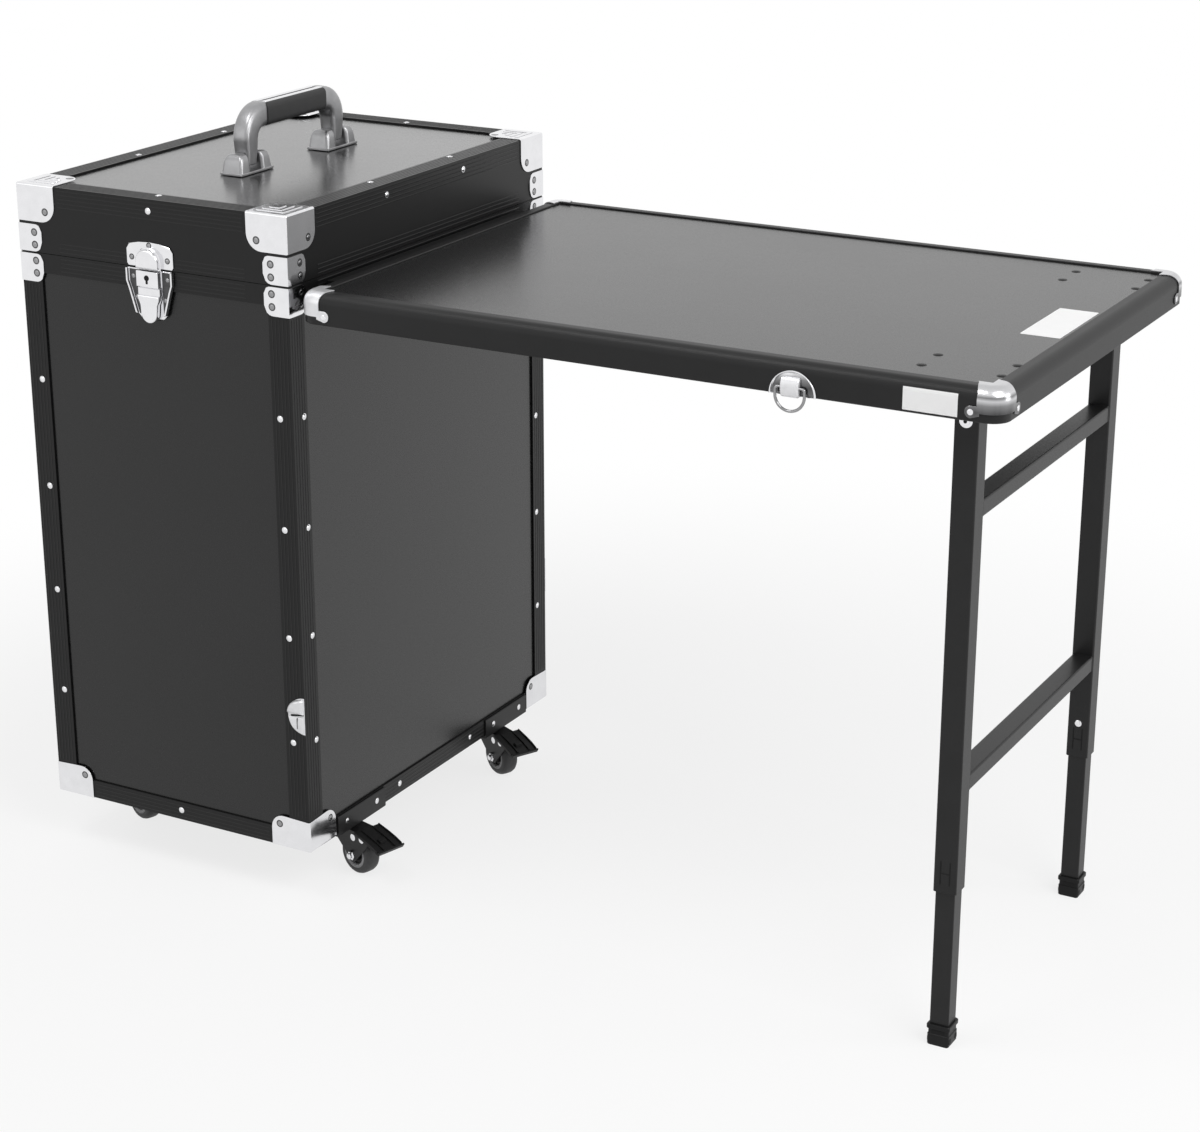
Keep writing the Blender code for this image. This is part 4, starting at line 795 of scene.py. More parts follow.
def make_latch():
    """Strike with its nose on the lid, base with lock block on the case, and the lever between."""
    face = FRONT - 0.3
    plate_face = face - LATCH_SHEET
    low, high = extent("latch_strike")
    half, foot = LATCH_HALF, LATCH_FOOT_HALF
    shoulder = [(half - 2, low.z), (half, low.z + 3), (half, high.z - 9), (half - 4, high.z - 3.4)]
    strike = Shape()
    plate = both_sides(shoulder + [(14, high.z - 0.8)], [(MIDDLE, high.z)])
    strike.extrude(plate, "y", plate_face, face, BRIGHT, 0.5)
    nose = arc((MIDDLE, high.z - 6.5 - NOSE_HALF), NOSE_HALF, 180, 0, 16)
    nose = both_sides([(NOSE_HALF, low.z + 0.2)], nose)
    strike.extrude(shrink(nose, -1.6), "y", plate_face - 3.4, face, BRIGHT, 0.6)
    swell(strike, nose, plate_face - 2, low.y, BRIGHT)
    strike.piece("latch_strike_plate", "lid", "bright_steel", "latch_strike")

    low, high = extent("latch_base")
    lever_low, lever_high = extent("latch_lever")
    edge = [(half, high.z), (half, high.z - 14), (half - 3, high.z - 22), (foot, low.z + 5)]
    base = Shape()
    base.extrude(both_sides(edge + [(foot - 5, low.z)]), "y", plate_face, face, BRIGHT, 0.5)
    for side in (-1, 1):
        flange = [(MIDDLE + side * a, z) for a, z in edge]
        flange += [(MIDDLE + side * (a - 2.2), z) for a, z in reversed(edge)]
        base.extrude(flange, "y", face - 5.6, face, BRIGHT, 0.6)
        # Painted shade: a dark strip between each flange and the lever's tongue, for the tongue's shadow and
        # dark reflection
        well = [(MIDDLE + side * (a - 3.0), z - 1.2) for a, z in edge]
        well += [(MIDDLE + side * (NOSE_HALF + 0.6), z - 1.2) for a, z in reversed(edge)]
        base.extrude(well, "y", plate_face - 0.1, face, SHADED)
    block_low, block_high = lever_high.z + 0.6, high.z - 0.6
    middle = (block_low + block_high) / 2
    reach = NOSE_HALF - 0.4
    lock_face = low.y + 0.3
    lock = rounded((MIDDLE - reach, block_low), (MIDDLE + reach, block_high), 1.0)
    base.extrude(lock, "y", lock_face, face, BRIGHT, 0.8)
    base.extrude(arc((MIDDLE, middle + 1.6), 3.2, 0, 345, 23), "y", lock_face - 0.25, face, HOLE)
    base.extrude(around(MIDDLE, middle - 1.5, 1.4, 3.5, 0.6), "y", lock_face - 0.2, face, HOLE)
    base.piece("latch_base_plate", "case", "bright_steel", "latch_base")

    neck_low = lever_high.z - 8
    tip = arc((MIDDLE, lever_low.z + 10.5), 10.5, 185, 355, 16)
    tongue = both_sides([(reach, neck_low), (reach - 0.4, neck_low - 5), (11.6, neck_low - 11)], tip)
    lever = Shape()
    swell(lever, tongue, lever_high.y - 0.4, low.y + 0.4, BRIGHT, 1.6)
    neck = rounded((MIDDLE - reach, neck_low - 2), (MIDDLE + reach, lever_high.z), 1.2, 3)
    lever.extrude(neck, "y", lever_low.y + 0.6, lever_high.y, BRIGHT, 0.9)
    lever.piece("latch_tongue", "lever", "bright_steel", "latch_lever")
    for name, body, spots in (
        ("strike_rivets", "lid", ((0, 25.6), (-24, 11), (24, 11))),
        ("latch_rivets", "case", ((-23, -10), (23, -10), (-19, -33), (19, -33))),
    ):
        places = [(Vector((MIDDLE + x, plate_face, SPLIT + z)), -Y) for x, z in spots]
        set_rivets(name, body, places, 2.0, 1.0)


# Carry handle


def sweep(shape, frames, material, power=0.5):
    """Lofts rounded-square sections along a path in the plane of Y and Z.

    Each frame holds the centre, the direction in degrees and the half sizes in the plane and along X.
    """
    loops = []
    for (y, z), heading, in_plane, along_x in frames:
        side = math.radians(heading + 90)
        loop = []
        for angle in steps_of(0, 360, 32)[:-1]:
            c, s = math.cos(angle), math.sin(angle)
            a = math.copysign(abs(c) ** power, c) * in_plane
            b = math.copysign(abs(s) ** power, s) * along_x
            loop.append((MIDDLE + b, y + a * math.cos(side), z + a * math.sin(side)))
        loops.append(loop)
    shape.loft(loops, material)


def make_handle():
    arch_low, arch_high = extent("handle_arch")
    grip_low, grip_high = extent("handle_grip")
    half = (arch_high.z - grip_low.z) / 2
    axis_z = arch_high.z - half
    leg_y = arch_high.y - half
    bend = arc((leg_y - HANDLE_BEND, axis_z - HANDLE_BEND), HANDLE_BEND, 0, 90, 12)
    elbows = Shape()
    for side, end in ((-1, grip_low.y), (1, grip_high.y)):
        frames = [
            ((side * leg_y, arch_low.z + rise), 90, in_plane, along_x)
            for rise, in_plane, along_x in ((0.2, 7.6, 8.4), (1.6, 9.2, 9.6), (14, 10.8, 10.6))
        ]
        for k, (y, z) in enumerate(bend):
            share = k / 12
            frames.append(((side * y, z), 90 + side * 90 * share, 12.4 + 1.1 * share, 10.9 + 0.6 * share))
        frames.append(((end - side * 6, axis_z), 90 + side * 90, half, 11.5))
        sweep(elbows, frames, SATIN)
    elbows.piece("handle_elbows", "handle", "handle_metal", "handle_arch")

    grip = Shape()
    top, across_x = half - 0.25, (grip_high.x - grip_low.x) / 2
    levels = ((0.0, 1.6), (0.6, 0.6), (1.8, 0.0))
    ends = [(grip_low.y + along, inset) for along, inset in levels]
    ends += [(grip_high.y - along, inset) for along, inset in reversed(levels)]
    sweep(grip, [((y, axis_z), 0, top - inset, across_x - inset) for y, inset in ends], RUBBER, 0.45)
    # Painted highlights: two bright metal strips along the grip's top edges
    for x in (-5.4, 5.4):
        highlight_strip = around(MIDDLE + x, grip_high.z - 0.6, 3.2, 0.6, 0.4)
        grip.extrude(highlight_strip, "y", grip_low.y + 1.5, grip_high.y - 1.5, BRIGHT, 0.2)
    grip.piece("handle_sleeve", "handle", "black_rubber", "handle_grip")
    for name in ("front", "rear"):
        make_handle_foot(name)


# Share of the height, inset of the sides and inset of the outer face at each level of a foot's cheek
CHEEK = ((0.0, 0.8, 0.8), (0.3, 1.4, 2.0), (0.62, 2.0, 3.4))
CHEEK += ((0.82, 3.0, 5.2), (0.94, 4.8, 7.4), (1.0, 8.0, 10.2))


def make_handle_foot(name):
    """A flanged base with a rounded cheek before and behind the handle's leg."""
    low, high = extent(f"handle_foot_{name}")
    half_x, reach, middle = (high.x - low.x) / 2, (high.y - low.y) / 2, (low.y + high.y) / 2
    slot = 11.4
    foot = Shape()
    foot.block(low, (high.x, high.y, low.z + 3), SATIN, 1.2)
    for side in (-1, 1):
        loops = []
        for share, inset_x, outer in CHEEK:
            ys = sorted((middle + side * slot, middle + side * (reach - outer)))
            z = low.z + 1.5 + (high.z - low.z - 1.5) * share
            width, radius = half_x - inset_x, min(4.0, (ys[1] - ys[0]) * 0.45)
            outline = rounded((MIDDLE - width, ys[0]), (MIDDLE + width, ys[1]), radius)
            loops.append([(x, y, z) for x, y in outline])
        foot.loft(loops, SATIN)
    foot.turn([(-slot - 3, 2.4), (slot + 3, 2.4)], "y", (MIDDLE, middle, low.z + 16.7), SATIN, 16)
    foot.piece(f"handle_socket_{name}", "lid", "handle_metal", f"handle_foot_{name}")


# Table

# The rim's rounded upper edge, as insets and heights
RIM_CURVE = arc((RIM_ROUND, TABLE_TOP - RIM_ROUND), RIM_ROUND, 180, 90, 14)


def table_loop(inset, z):
    low = (TABLE_START + inset, -TABLE_HALF + inset)
    high = (TABLE_END - inset, TABLE_HALF - inset)
    return [(x, y, z) for x, y in rounded(low, high, max(RIM_CORNER - inset, 2), 10)]


def make_table():
    lip, shelf, wall = TABLE_TOP - 2.0, board_low.z - 0.3, 4
    section = [(0.8, TABLE_BOTTOM), (0.0, TABLE_BOTTOM + 0.8), *RIM_CURVE]
    section += [(RIM_LIP_WIDTH - 0.8, TABLE_TOP), (RIM_LIP_WIDTH, TABLE_TOP - 0.8), (RIM_LIP_WIDTH, lip)]
    section += [(9, lip), (9, shelf), (wall, shelf), (wall, TABLE_BOTTOM)]
    edge = Shape()
    edge.loft([table_loop(inset, z) for inset, z in section], TRIM, ring=True)
    web, inside, outer = SPLIT - HOOK_UNDER_SPLIT, TABLE_START + 2, rim_low.x
    hook = [(inside, web), (inside, web + 3), (outer + 1, web + 3), (outer, web + 2)]
    hook += [(outer, web - 8.3), (outer + 2, web - 8.3), (outer + 2, web)]
    reach = (REAR - FRONT) / 2 - HOOK_FROM_CORNER
    edge.extrude(hook, "y", -reach, reach, PROFILE)
    edge.piece("table_edge", "table", "black_profile", "table_rim")
    for x_name, x, x_out, material in (("inner", TABLE_START, -1, ZINC), ("outer", TABLE_END, 1, BRUSHED_PAINTED_REFLECTION)):
        for y_name, y_out in (("front", -1), ("rear", 1)):
            make_table_cap(f"{x_name}_{y_name}", x, y_out * TABLE_HALF, x_out, y_out, material)
    spots = [(at(x, y, BOARD_TOP - BOTTOM), Z) for x in (695, 776) for y in (52, 93.5, 441.5, 484)]
    rivets("table_screws", "table", spots, 4.2, 0.9, PLASTIC, "black_paint")
    make_labels()


def make_labels():
    """Two plain white stickers: one round the front edge, one on the board."""
    rise = 0.25
    wall = [(0.0, TABLE_BOTTOM + 2.5)] + [(inset, z) for inset, z in RIM_CURVE if z < TABLE_BOTTOM + 25]
    outline = [(-TABLE_HALF + inset - rise, z) for inset, z in wall]
    outline += [(-TABLE_HALF + inset + rise, z) for inset, z in reversed(wall)]
    front = Shape()
    front.extrude(outline, "x", RIGHT + 700, RIGHT + 755, LABEL)
    front.piece("front_sticker", "table", "black_board")
    top = Shape()
    sheet = rounded(at(735, 207, 0).xy, at(777, 323, 0).xy, 1.5)
    top.extrude(sheet, "z", BOARD_TOP - rise, BOARD_TOP + rise, LABEL)
    top.piece("board_sticker", "table", "black_board")


def make_table_cap(name, x, y, x_out, y_out, material):
    """A pressed cap that follows the rim round a corner, with a riveted tab at each lower end."""
    lift = TABLE_CAP_LIFT
    skirt = TABLE_BOTTOM + 9
    rows = [(RIM_LIP_WIDTH - 0.4, TABLE_TOP + lift, 34.0), (RIM_LIP_WIDTH * 0.8, TABLE_TOP + lift, 32.0)]
    for k, (inset, z) in enumerate(reversed(RIM_CURVE)):
        share = k / (len(RIM_CURVE) - 1)
        turn = math.radians(90 * share)
        width = 31.0 - 4.0 * min(share * 1.6, 1.0)
        rows.append((inset - lift * math.sin(turn), z + lift * math.cos(turn), width))
    rows += [(-lift, skirt + 6, 27.0), (-lift, skirt, 27.5)]
    bm = bmesh.new()
    grid = []
    for inset, z, width in rows:
        radius = max(RIM_CORNER - inset, 0.4)
        run = width - RIM_CORNER
        line = [(-run * (1 - k / 4), 0.0) for k in range(4)]
        line += [(0.0, angle) for angle in steps_of(0, 90, 12)]
        line += [(run * (k + 1) / 4, math.pi / 2) for k in range(4)]
        grid.append([
            bm.verts.new((
                x + x_out * (radius * math.cos(angle) - max(along, 0.0) - RIM_CORNER),
                y + y_out * (radius * math.sin(angle) + min(along, 0.0) - RIM_CORNER),
                z,
            ))
            for along, angle in line
        ])
    for upper, lower in zip(grid, grid[1:]):
        for k in range(len(upper) - 1):
            bm.faces.new((upper[k], upper[k + 1], lower[k + 1], lower[k]))
    sheet = wall_from(bm, "cap", Vector((x_out, y_out, 1.0)), TABLE_CAP_SHEET, material)
    tabs, spots = Shape(), []
    tab_z = skirt + 0.6
    for axis, start, out, face, face_out in (("y", x, x_out, y, y_out), ("x", y, y_out, x, x_out)):
        near, far = start - out * 24, start - out * 33
        lobe = arc((far, tab_z), TAB_RADIUS, 90, 90 + out * 180, 14)
        outline = [(near, tab_z + TAB_RADIUS), *lobe, (near, tab_z - TAB_RADIUS * 0.55)]
        depths = sorted(face + face_out * (lift - depth) for depth in (TABLE_CAP_SHEET, 0.05))
        tabs.extrude(outline, axis, *depths, material, 0.2)
        spot, way = across(axis, far, tab_z, face + face_out * lift), across(axis, 0, 0, face_out)
        spots.append((Vector(spot), way))
    cap = merge(f"table_corner_{name}", [sheet, tabs.object("tabs")])
    finish_piece(cap, "table", "bright_steel", f"table_cap_{name}", smooth=40.0)
    rivets(f"table_corner_rivets_{name}", "table", spots, SMALL_RIVET_RADIUS, 0.45)


# Turn latches

# Depth, inset of the outline and lift of its centre at each level of a dish's rim and dome
DISH_RIM = ((0.0, 0.0, 0.0), (1.2, 0.0, 0.0), (1.9, 0.7, 0.4), (1.9, 1.8, 0.8), (1.0, 3.0, 1.2))
DISH_DOME = ((0.2, 2.6, 1.0), (1.0, 2.8, 1.1), (1.8, 4.6, 1.8), (2.5, 8.0, 2.6), (2.95, 13.0, 3.6))


def make_turn_latch(name, side):
    """A domed half-round dish on the table's edge, a turning strap and its wire ring."""
    low, high = extent(f"latch_dish_{name}")
    middle, radius = (low.x + high.x) / 2, (high.x - low.x) / 2
    back = low.y if side > 0 else high.y
    dish = Shape()
    # The dome takes the darker sheet with painted reflection bands, as painted shade inside the bright rim
    for levels, material in ((DISH_RIM, BRIGHT), (DISH_DOME, BRUSHED_PAINTED_REFLECTION)):
        loops = []
        for depth, inset, lift in levels:
            outline = arc((middle, low.z + lift), radius - inset, 0, 180, 28)
            loops.append([(a, back + side * depth, b) for a, b in outline])
        dish.loft(loops, material)
    dish.piece(f"turn_latch_dish_{name}", "table", "bright_steel", f"latch_dish_{name}")

    low, high = extent(f"latch_core_{name}")
    centre_z, tall = (low.z + high.z) / 2, (high.z - low.z) / 2 + 1.8
    inner, outer = (low.y, high.y) if side > 0 else (high.y, low.y)
    bulge = [
        (inner + (outer - inner) * (0.35 + 0.65 * math.cos(t)), centre_z + tall * math.sin(t))
        for t in steps_of(-78, 78, 16)
    ]
    bulge = [(inner, centre_z - tall), *bulge, (inner, centre_z + tall)]
    core = Shape()
    core.extrude(bulge, "x", middle - 9.8, middle + 9.8, ZINC, 1.2)
    boss = [(0.0, 6.0), (side * 1.2, 7.6), (side * 2.2, 7.6)]
    core.turn(boss, "y", (middle, inner, centre_z), BRIGHT, 32)
    core.piece(f"turn_latch_strap_{name}", f"turn_core_{name}", "bright_steel", f"latch_core_{name}")

    low, high = extent(f"latch_ring_{name}")
    wire, ring_y = (high.y - low.y) / 2, (low.y + high.y) / 2
    bow, bar_z = (high.x - low.x) / 2 - wire, high.z - wire
    path = [((middle + bow - 2, bar_z), 45.0), ((middle + bow, bar_z - 2), 22.5)]
    path += [
        (spot, -7.5 * k) for k, spot in enumerate(arc((middle, low.z + wire + bow), bow, 0, -180, 24))
    ]
    path += [((middle - bow, bar_z - 2), 157.5), ((middle - bow + 2, bar_z), 135.0), ((middle, bar_z), 90.0)]
    loops = []
    for (x, z), heading in path:
        out = math.radians(heading)
        section = arc((0.0, ring_y), wire, 0, 360, 12)[:-1]
        loops.append([(x + a * math.cos(out), y, z + a * math.sin(out)) for a, y in section])
    ring = Shape()
    ring.loft(loops, WIRE, ring=True)
    ring.piece(
        f"turn_latch_wire_{name}", f"turn_ring_{name}", "bright_steel", f"latch_ring_{name}", smooth=60.0
    )
    make_keeper(name, side)


def make_keeper(name, side):
    """The half-round cup on the case: a hood above and a folded wedge below, with painted shade under the
    hood and along the wedge's crease.
    """
    low, high = extent(f"turn_latch_keeper_{name}")
    radius, middle = (high.z - low.z) / 2, (low.z + high.z) / 2
    back = low.y if side > 0 else high.y
    cup = Shape()

    def raised(outline, start, end, material, edge=0.0):
        cup.extrude(outline, "y", *sorted((back + side * start, back + side * end)), material, edge)

    raised(arc((high.x, middle), radius, 90, 270, 28), 0.0, 1.2, ZINC, 0.4)
    edge, reach = high.x - 0.8, radius - 1.6
    hood = arc((edge - 3, middle + reach - 3), 3, 0, 84, 6)
    hood += arc((edge - 3, middle + 1.4), reach - 1.6, 96, 176, 14) + [(edge, middle + 2.4)]
    dome(cup, hood, back + side * 1.0, back + side * KEEPER_DEPTH, ZINC)
    wedge = arc((edge, middle - 0.6), reach, 182, 268, 14) + [(edge, middle - 0.6)]
    dome(cup, wedge, back + side * 1.0, back + side * 3.4, ZINC)
    # Painted shade: a dark upright line for the wedge's crease
    raised(around(high.x - 8.5, middle - 8.5, 0.5, 6.5, 0.4), 2.0, 3.5, SHADED)
    # Painted shadow: a dark slanted strip under the hood's lower edge
    hood_shadow = [(edge - 17, middle - 1.6), (edge, middle + 1.2), (edge, middle + 3.2), (edge - 17, middle + 0.6)]
    raised(hood_shadow, 1.0, 1.5, HOLE)
    cup.piece(f"turn_latch_cup_{name}", "case", "bright_steel", f"turn_latch_keeper_{name}")


# Legs


def square_tube(shape, row, low, high, half, radius):
    """A hollow square tube with rounded corners and softened ends."""
    soft = 0.4
    levels = [(low, half - soft), (low + soft, half), (high - soft, half), (high, half - soft)]
    levels = [(z, reach, radius) for z, reach in levels]
    levels += [(z, half - TUBE_WALL, radius * 0.5) for z in (high, low)]
    shape.loft(
        [[(x, y, z) for x, y in around(LEG_X, row, reach, reach, bend, 4)] for z, reach, bend in levels],
        COAT,
        ring=True,
    )


def make_legs():
    tubes = Shape()
    half = TUBE / 2
    for row in LEG_ROWS.values():
        square_tube(tubes, row, frame_low.z, frame_high.z, half, 2.2)
        face = row - half
        for x in (-5, 5):
            mark = around(LEG_X + x, frame_low.z + 22, 0.7, 13, 0.6)
            tubes.extrude(mark, "y", face - 0.15, face + 0.4, HOLE)
        tubes.extrude(around(LEG_X, frame_low.z + 21.6, 5, 0.6, 0.5), "y", face - 0.12, face + 0.4, HOLE)
    front, rear = LEG_ROWS["front"] + half, LEG_ROWS["rear"] - half
    for z in CROSSBARS:
        tubes.extrude(around(LEG_X, z, 11.5, 9, 2.2, 4), "y", front - 1, rear + 1, COAT)
        weld = around(LEG_X, z, 12, 9.5, 2.6, 4)
        tubes.extrude(weld, "y", front - 0.5, front + 1.2, COAT, 0.5)
        tubes.extrude(weld, "y", rear - 1.2, rear + 0.5, COAT, 0.5)
    tubes.piece("leg_tubes", "legs", "black_paint", "leg_frame")
    for name, inward in (("front", 1), ("rear", -1)):
        make_lower_leg(name, inward)
        make_leg_bracket(name)


# Heights and insets of a foot's shoe
SHOE = ((0.0, 1.6), (1.0, 0.9), (12.4, 0.75), (13.0, 1.4), (18.4, 1.4))
SHOE += ((19.0, 0.2), (19.6, 0.0), (23.2, 0.0), (24.0, 0.6), (24.0, 2.2))
# Shares of its rise and radii of a spring button
BUTTON = ((0.0, 3.9), (0.55, 3.9), (0.8, 3.3), (0.95, 2.0), (1.0, 0.8))


def make_lower_leg(name, inward):
    row = LEG_ROWS[name]
    low, high = extent(f"inner_leg_{name}")
    half = (high.x - low.x) / 2
    tube = Shape()
    square_tube(tube, row, low.z, high.z, half, 1.8)
    button_low, button_high = extent(f"leg_button_{name}")
    button_z = (button_low.z + button_high.z) / 2
    for k in range(3):
        spot = (LEG_X, row + inward * half, button_z + k * BUTTON_PITCH)
        tube.turn([(inward * -0.5, 4.3), (inward * 0.08, 4.3)], "y", spot, HOLE, 24)
    tube.piece(f"lower_tube_{name}", f"lower_leg_{name}", "black_paint", f"inner_leg_{name}")

    low, high = extent(f"leg_shoe_{name}")
    half_x, half_y = (high.x - low.x) / 2, (high.y - low.y) / 2
    shoe = Shape()
    loops = []
    for z, inset in SHOE:
        outline = around(LEG_X, row, half_x - inset, half_y - inset, 2.4, 4)
        loops.append([(x, y, z) for x, y in outline])
    shoe.loft(loops, PLASTIC)
    for y in (-8, 8):
        slot = around(row + y, 6.25, 2.6, 2.75, 1.0, 3)
        shoe.extrude(slot, "x", LEG_X - half_x + 0.6, LEG_X + half_x - 0.6, HOLE)
    shoe.extrude(around(LEG_X, 15.7, 7, 2.1, 0.8, 3), "y", row - half_y + 1.2, row + half_y - 1.2, HOLE)
    shoe.piece(f"foot_shoe_{name}", f"lower_leg_{name}", "black_plastic", f"leg_shoe_{name}")

    root = button_low.y if inward > 0 else button_high.y
    rise = inward * (button_high.y - button_low.y)
    button = Shape()
    section = [(rise * share, radius) for share, radius in BUTTON]
    button.turn(section, "y", (LEG_X, root, button_z), BRIGHT, 24)
    button.piece(f"height_button_{name}", f"button_{name}", "bright_steel", f"leg_button_{name}")


def make_leg_bracket(name):
    """A plate under the board, the ear beside the leg and the bright pivot bolt."""
    low, high = extent(f"leg_bracket_{name}")
    row, half = LEG_ROWS[name], TUBE / 2
    ear_near = row + half + 0.3
    ear_far = ear_near + 3
    bracket = Shape()
    bracket.block((low.x, ear_near - 20, high.z - 3), (high.x, ear_near + 35, high.z), COAT, 1.0)
    ear = arc((LEG_X, low.z + 12), 12, 180, 360, 16)
    ear = [(LEG_X - 12, high.z - 2), *ear, (LEG_X + 12, high.z - 2)]
    bracket.extrude(ear, "y", ear_near, ear_far, COAT, 0.5)
    spot = (LEG_X, row - half - 0.3, low.z + 10)
    head = [(0.0, 6.8), (-0.9, 6.8), (-1.2, 6.2), (-1.2, 4.6), (-2.3, 4.2), (-2.8, 3.0)]
    bracket.turn(head, "y", spot, BRIGHT, 28)
    bracket.turn([(-2.0, 2.1), (-2.9, 2.1)], "y", spot, HOLE, 6)
    bracket.turn([(0.0, 3.8), (ear_far - spot[1] - 1, 3.8)], "y", spot, BRIGHT, 20)
    bracket.piece(f"leg_hinge_{name}", "table", "black_paint", f"leg_bracket_{name}")


# Casters

# Sections of a wheel's tyre, disc and hub from one side, as places along the axle and radii
TYRE_SIDE = ((9.5, 16.2), (10.0, 17.0), (10.0, 20.2), (9.2, 22.2), (7.6, 23.8), (5.0, 24.8), (2.0, 25.0))
DISC_SIDE = ((8.2, 12.4), (9.4, 13.0), (10.2, 14.2), (10.2, 16.6), (9.4, 17.2))
HUB_SIDE = ((6.6, 3.9), (9.2, 4.2), (9.2, 7.6), (6.4, 8.6), (6.6, 12.8))
PIN_HEAD = ((12.8, 4.2), (13.5, 4.2), (13.9, 3.4), (14.0, 2.0))
NUT = ((12.6, 5.9), (15.6, 5.9), (16.4, 4.9))
AXLE_END = ((16.0, 3.6), (18.6, 3.6), (19.4, 2.6))


def joint_row(name):
    return next(row for row in frame["record"]["behaviour"]["joints"] if row["name"] == name)


def caster_place(name):
    """The swivel's place in metres, and its turn: X trails to the wheel and Y runs along its axle."""
    swivel = joint_row(f"caster_swivel_{name}")["pos_m"]
    axle = joint_row(f"wheel_spin_{name}")["axis"]
    turn = math.atan2(-axle[0], axle[1])
    return Matrix.Translation((swivel[0], swivel[1], 0.0)) @ Matrix.Rotation(turn, 4, "Z")


def on_side(side, section):
    """A section of (along, radius) pairs, turned to one side of the wheel."""
    return [(side * along, radius) for along, radius in section]


def make_caster(name, x, x_in):
    place = caster_place(name)
    hub = (WHEEL_TRAIL, 0.0, WHEEL_RADIUS)
    wheel = Shape()
    for section, material, steps in ((TYRE_SIDE, TYRE, 56), (DISC_SIDE, DISC, 48), (HUB_SIDE, PLASTIC, 40)):
        wheel.turn([*section, *reversed(on_side(-1, section))], "y", hub, material, steps, closed=True)
    wheel.piece(f"castor_wheel_{name}", f"wheel_{name}", "wheel_grey", f"caster_wheel_{name}", place=place)

    roof, top = FORK_ROOF, FORK_ROOF + 2
    cheek = [(-9.5, top), (-9.5, roof - 5), *arc((WHEEL_TRAIL, WHEEL_RADIUS), 8, 205, 335, 14)]
    cheek += [(54, 41.4), (56, 43.4), (56, 48.5), (ROOF_END, top)]
    fork = Shape()
    for depths in ((-13, -11), (11, 13)):
        fork.extrude(cheek, "y", *depths, COAT, 0.45)
    fork.block((-9.5, -12, roof), (ROOF_END, 12, top), COAT, 0.4)
    fork.turn([(roof + 0.2, 15.2), (top - 0.9, 16.0), (top - 0.2, 15.2)], "z", (0, 0, 0), COAT, 40)
    fork.turn([(-12.4, 3.4), (12.4, 3.4)], "y", hub, BRIGHT, 24)
    for side in (-1, 1):
        fork.turn(on_side(side, NUT), "y", hub, BRIGHT, 6)
        fork.turn(on_side(side, AXLE_END), "y", hub, BRIGHT, 20)
        fork.turn(on_side(side, PIN_HEAD), "y", (31, 0, 48), BRIGHT, 20)
    fork.piece(f"castor_fork_{name}", f"caster_{name}", "black_paint", f"caster_fork_{name}", place=place)
    if x_in < 0:
        make_pedal(name, place)
    make_caster_plate(name, x, x_in)


def make_pedal(name, place):
    """A foot pedal that starts over the fork and slopes down to a turned-up toe."""
    pivot = place.inverted() @ Vector(joint_row(f"brake_press_{name}")["pos_m"]) / MM
    px, pz = pivot.x, pivot.z
    pedal = Shape()

    def rib(outline, low, high, edge):
        pedal.extrude([(px + a, pz + b) for a, b in outline], "y", low, high, PLASTIC, edge)

    pedal.block((px - 5, -10.4, pz - 2), (px + 14, 10.4, pz + 2.4), PLASTIC, 0.6)
    upper = ((-5.5, 9.0), (11.5, 4.6), (24.0, 1.2), (34.6, -3.0), (38.0, -1.0))
    lower = ((39.4, -2.4), (36.4, -6.6), (24.0, -1.8), (11.5, 1.8), (-5.5, 7.6))
    rib(upper + lower, -19, 19, 0.4)
    edge = [(a, b + rise) for (a, b), rise in zip(upper, (0.9, 1.6, 1.6, 1.6))]
    edge += [(a, b - 1.0) for a, b in reversed(upper[:-1])]
    for y in (-18.2, -8.4, 8.4, 18.2):
        rib(edge, y - 0.8, y + 0.8, 0.2)
    rib(((17.0, 2.4), (19.0, 5.2), (24.5, 3.8), (25.0, 0.4)), -5, 5, 0.8)
    for side in (-1, 1):
        pedal.turn(on_side(side, ((9, 1.9), (13.4, 1.9))), "y", (px, 0, pz), BRIGHT, 16)
        pedal.turn(on_side(side, PIN_HEAD), "y", (px, 0, pz), BRIGHT, 20)
    pedal.piece(f"brake_lever_{name}", f"pedal_{name}", "black_plastic", f"brake_pedal_{name}", place=place)


def make_caster_plate(name, x, x_in):
    """An angle plate under the case's edge, its flange riveted to the side."""
    low, high = extent(f"caster_plate_{name}")
    under, outer = BOTTOM - 3.3, 2.1
    angle = [(-55, under), (outer - 1.4, under), (outer - 0.4, under + 0.4), (outer, under + 1.4)]
    angle += [(outer, high.z - 1), (outer - 0.6, high.z), (0.3, high.z), (0.3, under + 3), (-55, under + 3)]
    plate = Shape()
    plate.extrude([(x - x_in * out, z) for out, z in angle], "y", low.y, high.y, COAT)
    swivel = caster_place(name).translation / MM
    race = FORK_ROOF + 2.3
    plate.turn([(under + 0.5, 16), (race + 0.6, 16), (race, 15)], "z", swivel, COAT, 40)
    plate.turn([(race + 1, 3.6), (low.z + 1.6, 3.6)], "z", swivel, BRIGHT, 20)
    plate.turn([(low.z + 1.7, 7.0), (low.z + 0.7, 7.0), (low.z, 5.6)], "z", swivel, BRIGHT, 6)
    plate.piece(f"castor_plate_{name}", "case", "black_paint", f"caster_plate_{name}")
    middle = (low.y + high.y) / 2
    spots = [(Vector((x - x_in * outer, middle + y, BOTTOM + 10.5)), X * -x_in) for y in (-31, 31)]
    rivets(f"castor_plate_rivets_{name}", "case", spots, 3.0, 0.7)


# Scene

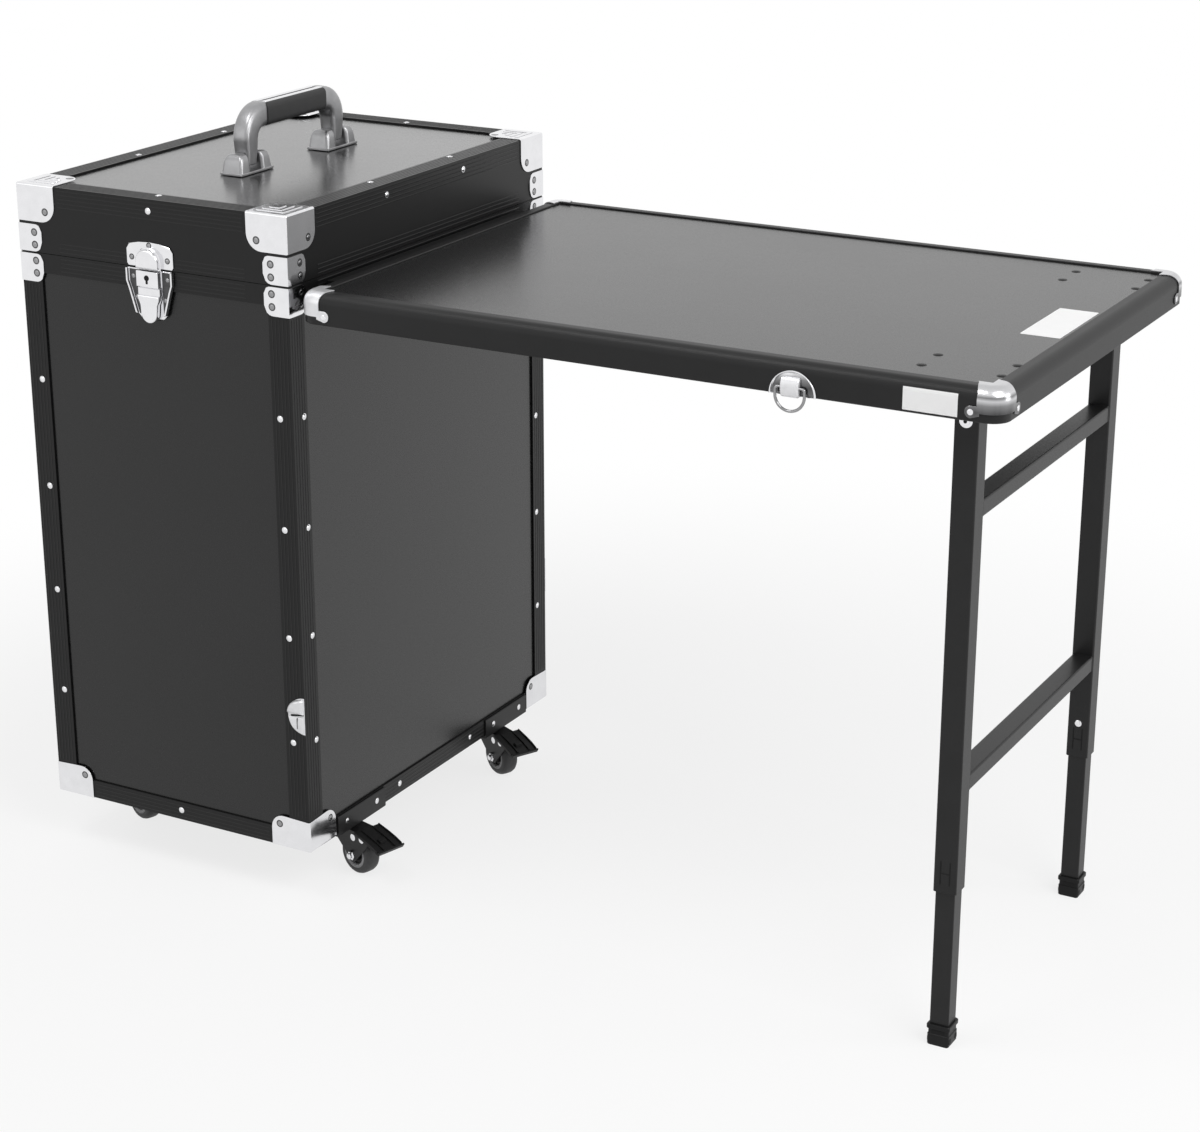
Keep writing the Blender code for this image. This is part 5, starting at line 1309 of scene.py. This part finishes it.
# Name, place, aim and size in metres, and watts of each lamp
LAMPS = (
    ("key", (2.1, -1.0, 2.5), (0.1, 0.0, 0.4), (1.6, 1.6), 40.0),
    ("front", (-1.6, -2.6, 1.5), (-0.1, 0.0, 0.45), (1.8, 1.4), 5.0),
    ("back", (-0.75, 2.5, 1.85), (0.0, 0.0, 0.6), (2.2, 1.1), 0.8),
    ("side", (2.7, 0.5, 1.1), (0.1, 0.0, 0.35), (1.2, 1.4), 18.0),
    ("overhead", (-0.6, -1.1, 2.6), (0.2, -0.27, 0.7), (1.4, 0.5), 14.0),
)
WHITE = (1.0, 1.0, 1.0, 1.0)
SOFT_LIGHT = 0.40
SENSOR, LENS = 36.0, 81.7
YAW, PITCH = math.radians(28.96), math.radians(19.65)


def dress_nodes():
    """Gives each solid that stays in view its finish."""
    finishes = {
        "black_board": LAMINATE,
        "black_profile": PROFILE,
        "bright_steel": BRIGHT,
        "handle_metal": SATIN,
        "black_rubber": RUBBER,
        "black_paint": COAT,
        "black_plastic": PLASTIC,
        "wheel_grey": TYRE,
    }
    for part in frame["record"]["subparts"]:
        node = part["node"]
        materials = frame["nodes"][node].data.materials
        materials.clear()
        materials.append(BOARD if node == "table_board" else finishes[part["material_slot"]])


def aim(obj, place, direction):
    obj.location = place
    obj.rotation_euler = direction.to_track_quat("-Z", "Y").to_euler()


def make_stage():
    world = bpy.data.worlds.new("studio")
    bpy.context.scene.world = world
    world.use_nodes = True
    studio = Tree(world.node_tree)
    soft = world.node_tree.nodes["Background"]
    studio.fill(soft, {"Color": WHITE, "Strength": SOFT_LIGHT})
    white = studio.node("ShaderNodeBackground", {"Color": WHITE, "Strength": 1.0})
    sockets = {0: studio.seen(), 1: Value(studio, soft.outputs[0]), 2: white}
    mixed = studio.node("ShaderNodeMixShader", sockets)
    studio.fill(world.node_tree.nodes["World Output"], {"Surface": mixed})
    floor = Shape()
    floor.block((-6000, -6000, -20), (6000, 6000, 0), floor_paint(), 0.0)
    floor.object("floor")
    for name, place, target, size, power in LAMPS:
        data = bpy.data.lights.new(name, "AREA")
        data.shape = "RECTANGLE"
        data.size, data.size_y = size
        data.energy = power
        aim(put(name, data), place, Vector(target) - Vector(place))


def floor_paint():
    """Pale paint that fades to plain white away from the object."""
    finish = Finish("pale_floor")
    cloud = finish.noise(3.0, 2.0)
    finish.colour(grey(0.86, 1.0), grey(0.90, 1.0), cloud)
    finish.set("Roughness", 0.7 + cloud * 0.1)
    away = finish.node("ShaderNodeVectorMath", {0: finish.place}, output=1, operation="LENGTH")
    reach = {"Value": away, "From Min": 0.75, "From Max": 1.6, "To Min": 0.78, "To Max": 1.0}
    fade = finish.node("ShaderNodeMapRange", reach, interpolation_type="SMOOTHSTEP")
    white = finish.node("ShaderNodeEmission", {"Color": WHITE, "Strength": 1.0})
    lit = Value(finish, finish.shader.outputs[0])
    mixed = finish.node("ShaderNodeMixShader", {0: finish.seen() * fade, 1: lit, 2: white})
    finish.fill(finish.group.nodes["Material Output"], {"Surface": mixed})
    return finish.material


def make_camera():
    data = bpy.data.cameras.new("photo_view")
    data.sensor_width, data.lens = SENSOR, LENS
    camera = put("photo_view", data)
    level = math.cos(PITCH)
    look = Vector((-math.sin(YAW) * level, math.cos(YAW) * level, -math.sin(PITCH)))
    aim(camera, at(1639, -2285, 1341) * MM, look)
    bpy.context.scene.camera = camera


bpy.context.scene.view_settings.view_transform = "Standard"
make_camera()
dress_nodes()
make_caps()
make_brackets()
make_case_rivets()
make_flutes()
make_latch()
make_handle()
make_table()
for latch_name, latch_side in (("front", -1), ("rear", 1)):
    make_turn_latch(latch_name, latch_side)
make_legs()
for corner_name, corner_x, _, corner_in, _ in corners():
    make_caster(corner_name, corner_x, corner_in)
make_stage()
